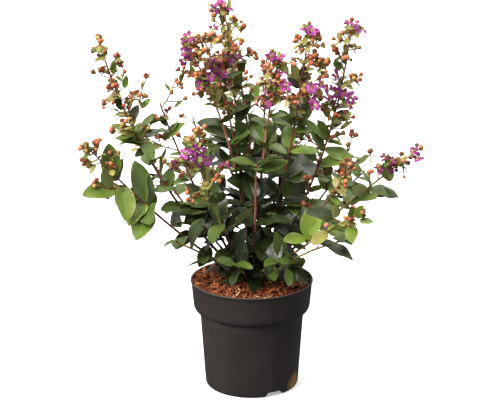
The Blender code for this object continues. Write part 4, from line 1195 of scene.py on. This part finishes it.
def add_arm(piece, heaps, looks, draw):
    """A twig of the solid, with the buds that its cluster stands for, and small bracts."""
    line, radius = piece.sizes["line"], piece.sizes["radius"] * 1.6
    stops = [line.at(line.length * i / 6) for i in range(7)]
    skin = "skin_green" if line.length < 0.034 else looks.high
    tube(heaps["stalks"], [point for point, _ in stops], taper(radius, radius * 0.7, 7), 6, [skin])
    end, heading = stops[-1]
    count = draw.randint(looks.buds - 1, looks.buds + 1)
    add_cyme(heaps, end, heading, piece.sizes["buds"] * 0.7, count, draw)
    for share in (0.3, 0.55, 0.8) if line.length > LONG_TWIG else (0.5,):
        point, way = line.at(line.length * share)
        roll = draw.uniform(0, tau)
        bract(heaps, draw, point, way, roll, BRACT_LENGTH * draw.uniform(0.4, 0.8))
        if line.length > LONG_TWIG and looks.buds > 2 and draw.random() < 0.75:
            out = (side_way(way, roll + 2.5) * 0.8 + way * 0.6).normalized()
            tip = point + out * SIDE_TWIG_LENGTH
            marks = [point, point + out * 0.007, tip]
            tube(heaps["stalks"], marks, [0.0008, 0.0008, 0.0007], STALK_SIDES, ["skin_green"])
            add_cyme(heaps, tip, out, SIDE_TWIG_REACH, draw.randint(2, 3), draw)


def dress(cane, line, pieces, heaps):
    """Every piece of a mass in its fine form, on the stem that holds it."""
    add_cane(cane, line, heaps)
    draw = Random(cane.seed + 3000)
    gone = set()
    end, heading = line.at(bare_from(line))
    for piece in pieces[1:]:
        beyond = (foot_of(piece) - end).dot(heading) > OFF_CANE
        if not piece.kept or piece.holder in gone or beyond or stands_in_gap(piece):
            gone.add(piece)
            continue
        sizes = piece.sizes
        if piece.kind == "leaf":
            share = min(max((sizes["root"] - line.foot).length / line.length, 0), 1)
            small = sizes["length"] < 0.040 and share > 0.6
            tone = draw.choice(("leaf_olive", "leaf_mid")) if small else leaf_tone(cane, sizes, share, draw)
            add_leaf(heaps["leaves"], sizes, draw, tone)
        elif piece.kind == "twig":
            add_arm(piece, heaps, LOOKS[cane.name], draw)
        elif cane.name not in READ_FLOWERS:
            add_bloom(heaps, sizes, draw)
    if cane.head:
        fine_head(cane, line, heaps)
    fine_leaves(cane, line, heaps)
    spot_leaves(cane, line, heaps)
    sprays(cane, line, heaps)


# Finishes

def srgb(colour):
    """A colour given as it looks on a screen, 0 to 255, as a linear colour."""
    return tuple(((c / 255 + 0.055) / 1.055) ** 2.4 if c > 10 else c / 255 / 12.92 for c in colour)


def shade(colour, factor):
    return tuple(min(c * factor, 1.0) for c in colour)


def add_node(tree, kind, inputs=None, **settings):
    """A shader node with its settings, each input linked to a socket or set to a value."""
    made = tree.nodes.new(kind)
    for name, value in settings.items():
        setattr(made, name, value)
    for name, value in (inputs or {}).items():
        if isinstance(value, bpy.types.NodeSocket):
            tree.links.new(value, made.inputs[name])
        else:
            made.inputs[name].default_value = value
    return made


def add_ramp(tree, value, *stops):
    """A colour for each value, by stops of a place and a colour."""
    made = add_node(tree, "ShaderNodeValToRGB", {"Fac": value})
    elements = made.color_ramp.elements
    while len(elements) < len(stops):
        elements.new(0.5)
    for element, (place, colour) in zip(elements, stops):
        element.position = place
        element.color = (*colour, 1)
    return made.outputs["Color"]


class Finish:
    """A material and short ways to add nodes to it."""

    def __init__(self, name, roughness, **sockets):
        self.material = bpy.data.materials.new(name)
        self.material.use_nodes = True
        self.tree = self.material.node_tree
        self.shader = self.tree.nodes["Principled BSDF"]
        self.shader.inputs["Roughness"].default_value = roughness
        for socket, value in sockets.items():
            self.shader.inputs[socket.replace("_", " ")].default_value = value
        self.place = self.node("ShaderNodeTexCoord").outputs

    def node(self, kind, inputs=None, **settings):
        return add_node(self.tree, kind, inputs, **settings)

    def noise(self, scale, detail=3.0, stretch=(1, 1, 1)):
        spread = self.node("ShaderNodeMapping", {"Vector": self.place["Object"], "Scale": stretch})
        inputs = {"Vector": spread.outputs[0], "Scale": scale, "Detail": detail}
        return self.node("ShaderNodeTexNoise", inputs).outputs["Fac"]

    def ramp(self, value, *stops):
        return add_ramp(self.tree, value, *stops)

    def math(self, operation, *values):
        return self.node("ShaderNodeMath", dict(enumerate(values)), operation=operation).outputs[0]

    def clamp(self, value):
        return self.node("ShaderNodeClamp", {"Value": value}).outputs[0]

    def split(self, source):
        return self.node("ShaderNodeSeparateXYZ", {"Vector": self.place[source]}).outputs

    def mix(self, amount, base, colour):
        """A base that gives way to a colour by an amount."""
        inputs = {0: amount, "A": base, "B": (*colour, 1)}
        return self.node("ShaderNodeMix", inputs, data_type="RGBA").outputs["Result"]

    def paint(self, colour):
        self.tree.links.new(colour, self.shader.inputs["Base Color"])

    def gloss(self, value):
        self.tree.links.new(value, self.shader.inputs["Roughness"])

    def bump(self, height, distance, strength):
        """A relief, on top of the one that is there."""
        made = self.node("ShaderNodeBump", {"Height": height, "Distance": distance, "Strength": strength})
        old = self.shader.inputs["Normal"]
        if old.is_linked:
            self.tree.links.new(old.links[0].from_socket, made.inputs["Normal"])
        self.tree.links.new(made.outputs["Normal"], old)


# Two tones in patches over a fine relief: the noise of the patches, where each tone is full, the noise of the
# relief, its depth and its strength
Grain = namedtuple("Grain", "patches low_stop high_stop relief depth strength")
SKIN = Grain((240, 4, (1, 1, 0.25)), 0.36, 0.64, (900, 4, (1, 1, 0.3)), 0.0003, 0.6)
PETAL = Grain((260, 3), 0.32, 0.72, (700, 4), 0.0006, 0.8)
CHIP = Grain((420, 5), 0.30, 0.70, (1300, 4), 0.0005, 0.9)
VEIN_TINT = (150, 165, 95)


def grained_finish(name, grain, low, high, roughness):
    """Bark, petals and chips: a low and a high tone in patches over a fine relief."""
    made = Finish(name, roughness)
    stops = (grain.low_stop, srgb(low)), (grain.high_stop, srgb(high))
    made.paint(made.ramp(made.noise(*grain.patches), *stops))
    made.bump(made.noise(*grain.relief), grain.depth, grain.strength)
    return made.material


def leaf_finish(name, colour, roughness, vein_light):
    """A leaf: soft patches, a paler midrib and side veins that dent it."""
    made = Finish(name, roughness)
    colour = srgb(colour)
    base = made.ramp(made.noise(26, 2), (0.30, shade(colour, 0.72)), (0.70, shade(colour, 1.28)))
    spot = made.split("UV")
    across = made.math("ABSOLUTE", made.math("SUBTRACT", spot["X"], 0.5))
    rib = made.clamp(made.math("SUBTRACT", 1.0, made.math("MULTIPLY", across, 22.0)))
    slant = made.math("SUBTRACT", made.math("MULTIPLY", spot["Y"], 8.0), made.math("MULTIPLY", across, 5.0))
    veins = made.clamp(made.math("SINE", made.math("MULTIPLY", slant, tau)))
    veins = made.math("MULTIPLY", made.math("POWER", veins, 6.0), 0.35)
    light = made.math("MAXIMUM", rib, veins)
    pale = tuple(c * 0.5 + 0.5 * p for c, p in zip(colour, srgb(VEIN_TINT)))
    made.paint(made.mix(made.math("MULTIPLY", light, vein_light), base, pale))
    made.bump(made.math("MULTIPLY", light, -1.0), 0.0005, 0.5)
    made.bump(made.noise(420, 3), 0.00012, 0.35)
    return made.material


def bud_finish(name, foot, colour):
    """A bud: greenish at its foot, in its own colour above, with six faint ridges."""
    made = Finish(name, 0.4, Specular_IOR_Level=0.4)
    colour = srgb(colour)
    spot = made.split("UV")
    ridges = made.math("ABSOLUTE", made.math("SINE", made.math("MULTIPLY", spot["X"], 6 * pi)))
    tint = made.math("MULTIPLY_ADD", made.noise(140, 2), 0.9, made.math("MULTIPLY", spot["Y"], 1.2))
    stops = (0.30, srgb(foot)), (0.60, shade(colour, 0.88)), (0.90, shade(colour, 1.25))
    made.paint(made.ramp(made.math("SUBTRACT", tint, 0.45), *stops))
    made.bump(ridges, 0.0004, 0.35)
    return made.material


def pot_finish():
    """Black moulded plastic: faint cloudiness, a fine grain, scuffs, an amber patch low down and a painted
    highlight along the lip.
    """
    made = Finish("pot_plastic", 0.5, Specular_IOR_Level=0.36)
    colour = made.ramp(made.noise(14, 4), (0.30, srgb((40, 35, 34))), (0.72, srgb((49, 44, 43))))
    # An amber patch in noisy blotches round a point low down near the foot
    corner = {0: made.place["Object"], 1: AMBER_PATCH_PLACE}
    away = made.node("ShaderNodeVectorMath", corner, operation="DISTANCE").outputs["Value"]
    near = made.node("ShaderNodeMapRange", {0: away, 1: 0.020, 2: 0.006, 3: 0.0, 4: 1.0})
    patch = made.math("MULTIPLY", near.outputs[0], made.math("MULTIPLY_ADD", made.noise(110, 5), 1.6, -0.15))
    amber_patched = made.mix(patch, colour, srgb((186, 146, 66)))
    # Painted highlight: a paler band along the top of the lip, all the way round
    height = made.split("Object")["Z"]
    lip = made.node("ShaderNodeMapRange", {0: height, 1: POT_HEIGHT - 0.0012, 2: POT_HEIGHT - 0.0002})
    made.paint(made.mix(made.math("MULTIPLY", lip.outputs[0], 0.8), amber_patched, srgb((92, 84, 80))))
    made.gloss(made.math("MULTIPLY_ADD", made.noise(60, 5, (1, 1, 6)), 0.30, 0.34))
    made.bump(made.noise(1500, 2), 0.0001, 0.25)
    made.bump(made.noise(45, 2), 0.0006, 0.12)
    return made.material


# Every finish of the plant and its filling: how it is made, its name, and its colours and values
FINISHES = (
    # leaf_deep is the leaf green made darker: painted shade, for leaves in the shade of others
    (leaf_finish, "leaf_deep", (48, 60, 28), 0.30, 0.35),
    (leaf_finish, "leaf_mid", (82, 103, 42), 0.30, 0.40),
    (leaf_finish, "leaf_fresh", (98, 124, 42), 0.31, 0.40),
    (leaf_finish, "leaf_lime", (110, 132, 46), 0.32, 0.40),
    (leaf_finish, "leaf_olive", (154, 148, 78), 0.40, 0.35),
    (leaf_finish, "under_pale", (142, 148, 88), 0.55, 0.5),
    (leaf_finish, "under_dark", (90, 100, 56), 0.55, 0.5),
    (grained_finish, "bark_brown", SKIN, (62, 38, 30), (112, 74, 54), 0.75),
    (grained_finish, "skin_brown", SKIN, (92, 44, 34), (142, 80, 58), 0.55),
    (grained_finish, "skin_red", SKIN, (104, 52, 40), (150, 86, 66), 0.5),
    (grained_finish, "skin_pink", SKIN, (164, 92, 82), (206, 140, 126), 0.5),
    (grained_finish, "skin_green", SKIN, (130, 122, 58), (176, 150, 88), 0.5),
    (bud_finish, "bud_red", (160, 122, 70), (164, 80, 56)),
    (bud_finish, "bud_orange", (168, 152, 84), (190, 116, 74)),
    (bud_finish, "bud_brown", (130, 112, 58), (132, 76, 48)),
    (bud_finish, "bud_green", (148, 148, 74), (176, 148, 86)),
    (bud_finish, "bud_pink", (176, 152, 98), (196, 124, 98)),
    (bud_finish, "stamen", (190, 150, 60), (220, 180, 60)),
    (grained_finish, "petal_magenta", PETAL, (150, 44, 122), (194, 84, 168), 0.6),
    (grained_finish, "petal_lilac", PETAL, (168, 54, 150), (208, 108, 194), 0.6),
    (grained_finish, "petal_deep", PETAL, (112, 14, 74), (158, 32, 108), 0.6),
    (grained_finish, "chip_dark", CHIP, (74, 32, 20), (122, 58, 36), 0.85),
    (grained_finish, "chip_brown", CHIP, (132, 62, 36), (190, 100, 56), 0.85),
    (grained_finish, "chip_orange", CHIP, (182, 98, 52), (226, 144, 86), 0.85),
    (grained_finish, "chip_pale", CHIP, (214, 164, 112), (242, 210, 166), 0.85),
    # The bed is mulch darker than most chips: painted shade in the gaps between them
    (grained_finish, "bed", CHIP, (48, 20, 12), (92, 40, 22), 0.85),
    (grained_finish, "soil", CHIP, (34, 24, 18), (66, 48, 36), 0.85),
)


# Pot and filling

def bend(radius, height, steps):
    """The points of a bend, as steps out and up from a corner."""
    return [(radius + out, height + up) for out, up in steps]


def stretch(start, end, count):
    """Points at even steps from a start, which isn't among them, to an end."""
    (r, z), (far, deep) = start, end
    return [(r + (far - r) * i / count, z + (deep - z) * i / count) for i in range(1, count + 1)]


def band_point(height):
    """The point of the rim band's slope at a height."""
    return BAND_FOOT_RADIUS + BAND_SLOPE * (height - BAND_FOOT_HEIGHT), height


def outer_profile():
    """The outer side of the pot from the lip down, with its soft bends: radius and height."""
    side = bend(RIM_RADIUS, POT_HEIGHT, LIP_BEND)
    side += stretch(band_point(LIP_FOOT), band_point(BAND_FOOT_HEIGHT + 0.0015), 7)
    side += bend(BAND_FOOT_RADIUS, BAND_FOOT_HEIGHT, BAND_BEND)
    side += bend(NECK_RADIUS, NECK_HEIGHT, NECK_BEND)
    side += stretch((NECK_RADIUS, NECK_HEIGHT), (BASE_RADIUS, 0.0052), 12)
    return side + bend(BASE_RADIUS, 0.0, BASE_BEND) + [(0, 0)]


def inner_profile():
    """The inner side of the pot from the middle of its floor to its lip."""
    foot = BAND_FOOT_RADIUS - WALL - 0.0006
    return [
        (0, FLOOR),
        (BASE_RADIUS - WALL - 0.002, FLOOR),
        (NECK_RADIUS - WALL, NECK_HEIGHT + 0.0008),
        (foot, BAND_FOOT_HEIGHT + 0.0008),
        (foot + BAND_SLOPE * (POT_HEIGHT - 0.0005 - BAND_FOOT_HEIGHT), POT_HEIGHT - 0.0005),
    ]


def turned(name, profile, steps):
    """A turned shape round Z."""
    mesh = bpy.data.meshes.new(name)
    mesh.from_pydata([(r, 0, z) for r, z in profile], [(i, i + 1) for i in range(len(profile) - 1)], [])
    made = shown(name, mesh)
    screw = made.modifiers.new("turn", "SCREW")
    screw.steps = screw.render_steps = steps
    screw.use_merge_vertices = True
    screw.merge_threshold = 0.00002
    bake(made)
    shape = bmesh.new()
    shape.from_mesh(made.data)
    shut(shape, made.data)
    return made


def bake(made):
    """Applies the modifiers of an object to its mesh."""
    bpy.context.view_layer.update()
    mesh = bpy.data.meshes.new_from_object(made.evaluated_get(bpy.context.evaluated_depsgraph_get()))
    made.modifiers.clear()
    old = made.data
    made.data = mesh
    bpy.data.meshes.remove(old)


def shut(shape, mesh):
    """Turns every face of a closed shape to its outside, and puts the shape into a mesh."""
    bmesh.ops.recalc_face_normals(shape, faces=shape.faces)
    shape.to_mesh(mesh)
    shape.free()


def recess_blocks(name, grow_by, floor):
    """A block for each foot recess: wide at its foot, narrow at its roof, and open to the outside."""
    shape = bmesh.new()
    slope = (RECESS_FOOT_WIDTH - RECESS_ROOF_WIDTH) / 2 / RECESS_HEIGHT
    inner, outer = BASE_RADIUS - RECESS_DEPTH - grow_by, BASE_RADIUS + 0.020
    for number in range(RECESS_COUNT):
        made = bmesh.ops.create_cube(shape, size=1)["verts"]
        spin = Matrix.Rotation(RECESS_COMPASS + tau * number / RECESS_COUNT, 3, "Z")
        for vertex in made:
            x, y, z = vertex.co
            height = RECESS_HEIGHT + grow_by if z > 0 else floor
            half = RECESS_FOOT_WIDTH / 2 + grow_by - slope * min(height, RECESS_HEIGHT)
            vertex.co = spin @ Vector((outer if x > 0 else inner, half if y > 0 else -half, height))
    mesh = bpy.data.meshes.new(name)
    shut(shape, mesh)
    return shown(name, mesh)


def cut(target, operation, other):
    """A Boolean step of a target with another object, which it uses up."""
    step = target.modifiers.new("step", "BOOLEAN")
    step.operation = operation
    step.solver = "EXACT"
    step.object = other
    bake(target)
    bpy.data.objects.remove(other)


def build_pot(finish):
    """The shell, with a cover over each foot recess, and the recess cut out of that."""
    pot = turned("pot_shell", inner_profile() + outer_profile(), POT_SIDES)
    covers = recess_blocks("covers", WALL, FLOOR / 2)
    core = [(0, POT_HEIGHT)] + [(max(r - WALL / 2, 0), max(z, 0.0005)) for r, z in outer_profile()]
    cut(covers, "INTERSECT", turned("core", core, CORE_SIDES))
    cut(pot, "UNION", covers)
    cut(pot, "DIFFERENCE", recess_blocks("recesses", 0.0, -0.004))
    for face in pot.data.polygons:
        face.use_smooth = True
    pot.data.set_sharp_from_angle(angle=radians(32))
    pot.data.materials.clear()
    pot.data.materials.append(finish)
    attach(pot, "root")
    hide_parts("pot")


def mulch_height(x, y):
    """The height of the mulch: a low heap, a little higher to the left, in lumps."""
    out = sqrt(x * x + y * y) / MULCH_REACH
    lumps = noise.noise(Vector((x * 60, y * 60, 2))) * 0.0022
    lumps += noise.noise(Vector((x * 150, y * 150, 7))) * 0.0012
    return MULCH_TOP + 0.0020 * (1 - out**2) - 0.034 * x + 0.012 * min(y, 0) + lumps


def build_bed(finishes):
    """The surface under the chips, from the stool to the pot's wall, dark with painted shade between them."""
    rings, sides = 26, 90
    points = [(0, 0, MULCH_BED)]
    for i in range(1, rings + 1):
        for j in range(sides):
            angle = tau * j / sides
            r = BED_REACH * i / rings
            x, y = r * cos(angle), r * sin(angle)
            points.append((x, y, mulch_height(x, y) - BED_DROP))
    faces = [(0, 1 + j, 1 + (j + 1) % sides) for j in range(sides)]
    faces += (strips(rings, sides, True)[:, OTHER_WAY] + 1).tolist()
    mesh = bpy.data.meshes.new("mulch_bed")
    mesh.from_pydata(points, [], faces)
    mesh.materials.append(finishes["bed"])
    made = shown("mulch_bed", mesh)
    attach(made, "root")
    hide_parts("bark_mulch")


def chip_points(draw, length, width, thick):
    """A splinter of bark along X: four sides, ragged, bent and drawn in at its ends."""
    fullness = (0.35, 0.9, 1.0, 0.85, 0.25)
    last = len(fullness) - 1
    points = []
    bend_by, turn_by = draw.gauss(0, 0.10), draw.gauss(0, 0.10)
    for i, full in enumerate(fullness):
        t = i / last
        full *= draw.uniform(0.75, 1.2)
        bow = length * (2 * t - 1) ** 2
        for y, z in ((-1, -1), (1, -1), (1, 1), (-1, 1)):
            far = (t - 0.5) * length + draw.gauss(0, width * 0.15)
            aside = turn_by * bow + y * width / 2 * full * draw.uniform(0.7, 1.2)
            points.append((far, aside, bend_by * bow + z * thick / 2 * full))
    ends = [(3, 2, 1, 0), tuple(4 * last + k for k in range(4))]
    return np.array(points), np.array(strips(len(fullness), 4, True).tolist() + ends)


def lay_chip(heap, draw, spot, along, face, sizes, tones):
    """A chip with its length, width and thickness, laid at a spot in one of some tones."""
    points, faces = chip_points(draw, *sizes)
    points = placed(points, along, face, spot)
    heap.add([faces], points, points[:, :2], [draw.choice(tones)])


def scatter_chips(heap):
    """Shredded bark over the bed, lying flat for the most part, some over the rim on the left."""
    draw = Random(CHIP_SEED)
    for _ in range(CHIP_COUNT):
        angle = draw.uniform(0, tau)
        out = sqrt(draw.random()) * CHIP_REACH
        x, y = out * cos(angle), out * sin(angle)
        length = min(max(draw.lognormvariate(-4.55, 0.42), 0.004), 0.026)
        width = length * draw.uniform(0.08, 0.30)
        thick = min(width, 0.0016) * draw.uniform(0.35, 0.8)
        lay = draw.uniform(0, tau)
        tilt = draw.gauss(0, 0.26)
        along = polar(cos(tilt), lay, sin(tilt))
        face = square_to(along, Vector((draw.gauss(0, 0.35), draw.gauss(0, 0.35), 1)))
        height = mulch_height(x, y) + draw.uniform(-0.0015, 0.0030) + abs(sin(tilt)) * length * 0.25
        spot = Vector((x, y, height))
        ends = [spot + along * length * k for k in (-0.5, 0.5)]
        if not any(end.xy.length > CHIP_END_REACH and end.z < POT_HEIGHT + 0.0004 for end in ends):
            lay_chip(heap, draw, spot, along, face, (length, width, thick), CHIP_TONES)
    for _ in range(RIM_CHIP_COUNT):
        angle = radians(draw.uniform(140, 232))
        out = draw.uniform(0.086, 0.0945)
        spot = polar(out, angle, POT_HEIGHT - 0.001 + draw.uniform(-0.001, 0.0025))
        lay = angle + draw.gauss(0, 0.8)
        tilt = draw.uniform(-0.05, 0.4)
        along = polar(cos(tilt), lay, sin(tilt))
        sizes = (draw.uniform(0.006, 0.015), draw.uniform(0.0007, 0.0016), 0.0006)
        lay_chip(heap, draw, spot, along, square_to(along, UP), sizes, RIM_CHIP_TONES)


def add_stool(heap):
    """The woody stool: a knobbly mound with the relief of old bark."""
    rows, sides = 12, 28
    points = []
    for i in range(rows):
        t = i / (rows - 1)
        radius = STOOL_RADIUS * (1 - t**3.2) ** 0.6 * 0.99 + 0.0001
        height = STOOL_FOOT + (STOOL_TOP - STOOL_FOOT) * t
        for j in range(sides):
            angle = tau * j / sides
            knob = 1 + 0.09 * noise.noise(Vector((cos(angle) * 2.4, sin(angle) * 2.4, height * 110)))
            points.append(polar(radius * knob, angle, height)[:])
    points.append((0, 0, STOOL_TOP))
    points = np.array(points)
    heap.add([strips(rows, sides, True)], points, points[:, :2], ["bark_brown"])


# Stage, lights and camera

def grey(value):
    return (value, value, value)


def build_floor():
    """A pale floor that lights itself a little, so that shadows on it stay faint, and lights nothing else."""
    made = Finish("pale_floor", 0.9, Emission_Color=(1, 1, 1, 1), Emission_Strength=0.35)
    made.paint(made.ramp(made.noise(0.6, 2), (0.3, grey(0.91)), (0.7, grey(0.94))))
    mesh = bpy.data.meshes.new("floor")
    corners = [(x * FLOOR_HALF, y * FLOOR_HALF, 0) for x, y in ((-1, -1), (1, -1), (1, 1), (-1, 1))]
    mesh.from_pydata(corners, [], [(0, 1, 2, 3)])
    mesh.materials.append(made.material)
    floor = shown("floor", mesh)
    floor.visible_diffuse = False
    floor.visible_glossy = False


def build_world():
    """A world that is bright above and dim below, so that undersides stay dark."""
    world = bpy.data.worlds.new("studio")
    bpy.context.scene.world = world
    world.use_nodes = True
    tree = world.node_tree
    place = add_node(tree, "ShaderNodeTexCoord").outputs["Generated"]
    height = add_node(tree, "ShaderNodeSeparateXYZ", {0: place}).outputs["Z"]
    lift = add_node(tree, "ShaderNodeMath", {0: height, 1: 0.5, 2: 0.5}, operation="MULTIPLY_ADD").outputs[0]
    light = add_ramp(tree, lift, (0.35, grey(0.10)), (0.80, grey(0.55)))
    sky = tree.nodes["Background"]
    tree.links.new(light, sky.inputs["Color"])
    sky.inputs["Strength"].default_value = WORLD_LIGHT


def build_lights():
    """Broad soft lights from far off, so that they fall off nowhere on the floor."""
    for name, compass, lift, strength, softness in SUNS:
        light = bpy.data.lights.new(name, "SUN")
        light.energy = strength
        light.angle = radians(softness)
        light.color = SUN_COLOUR
        way = polar(cos(radians(lift)), radians(compass), sin(radians(lift)))
        shown(name, light).rotation_euler = way.to_track_quat("Z", "Y").to_euler()


def build_camera():
    data = bpy.data.cameras.new("camera")
    data.sensor_width = SENSOR
    data.lens = LENS
    made = shown("camera", data)
    made.location = EYE
    made.rotation_euler = (pi / 2 - EYE_TILT, 0, 0)
    bpy.context.scene.camera = made


def build_plant(finishes):
    """Every cane and its mass in their fine form, gathered by kind."""
    heaps = {
        "canes": Heap("canes", "bark"),
        "stalks": Heap("twigs", "bark"),
        "leaves": Heap("leaves", "leaf"),
        "buds": Heap("buds", "leaf"),
        "petals": Heap("petals", "leaf"),
    }
    add_stool(heaps["canes"])
    feet = cane_feet()
    for cane in CANES:
        line, pieces = grow(cane, feet[cane.name])
        settle(pieces, nodes["foliage_" + cane.name])
        dress(cane, line, pieces, heaps)
    made = {kind: heap.build(finishes) for kind, heap in heaps.items()}
    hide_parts("stool", *sorted(n for n in nodes if n.startswith("cane_")))
    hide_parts(*sorted(n for n in nodes if n.startswith("foliage_")))


def main():
    finishes = {name: make(name, *looks) for make, name, *looks in FINISHES}
    build_pot(pot_finish())
    nodes["soil"].data.materials.clear()
    nodes["soil"].data.materials.append(finishes["soil"])
    build_bed(finishes)
    chips = Heap("bark_chips", "bark_mulch")
    scatter_chips(chips)
    chips.build(finishes)
    build_plant(finishes)
    build_floor()
    build_world()
    build_lights()
    build_camera()
    bpy.context.scene.view_settings.view_transform = "Standard"


main()
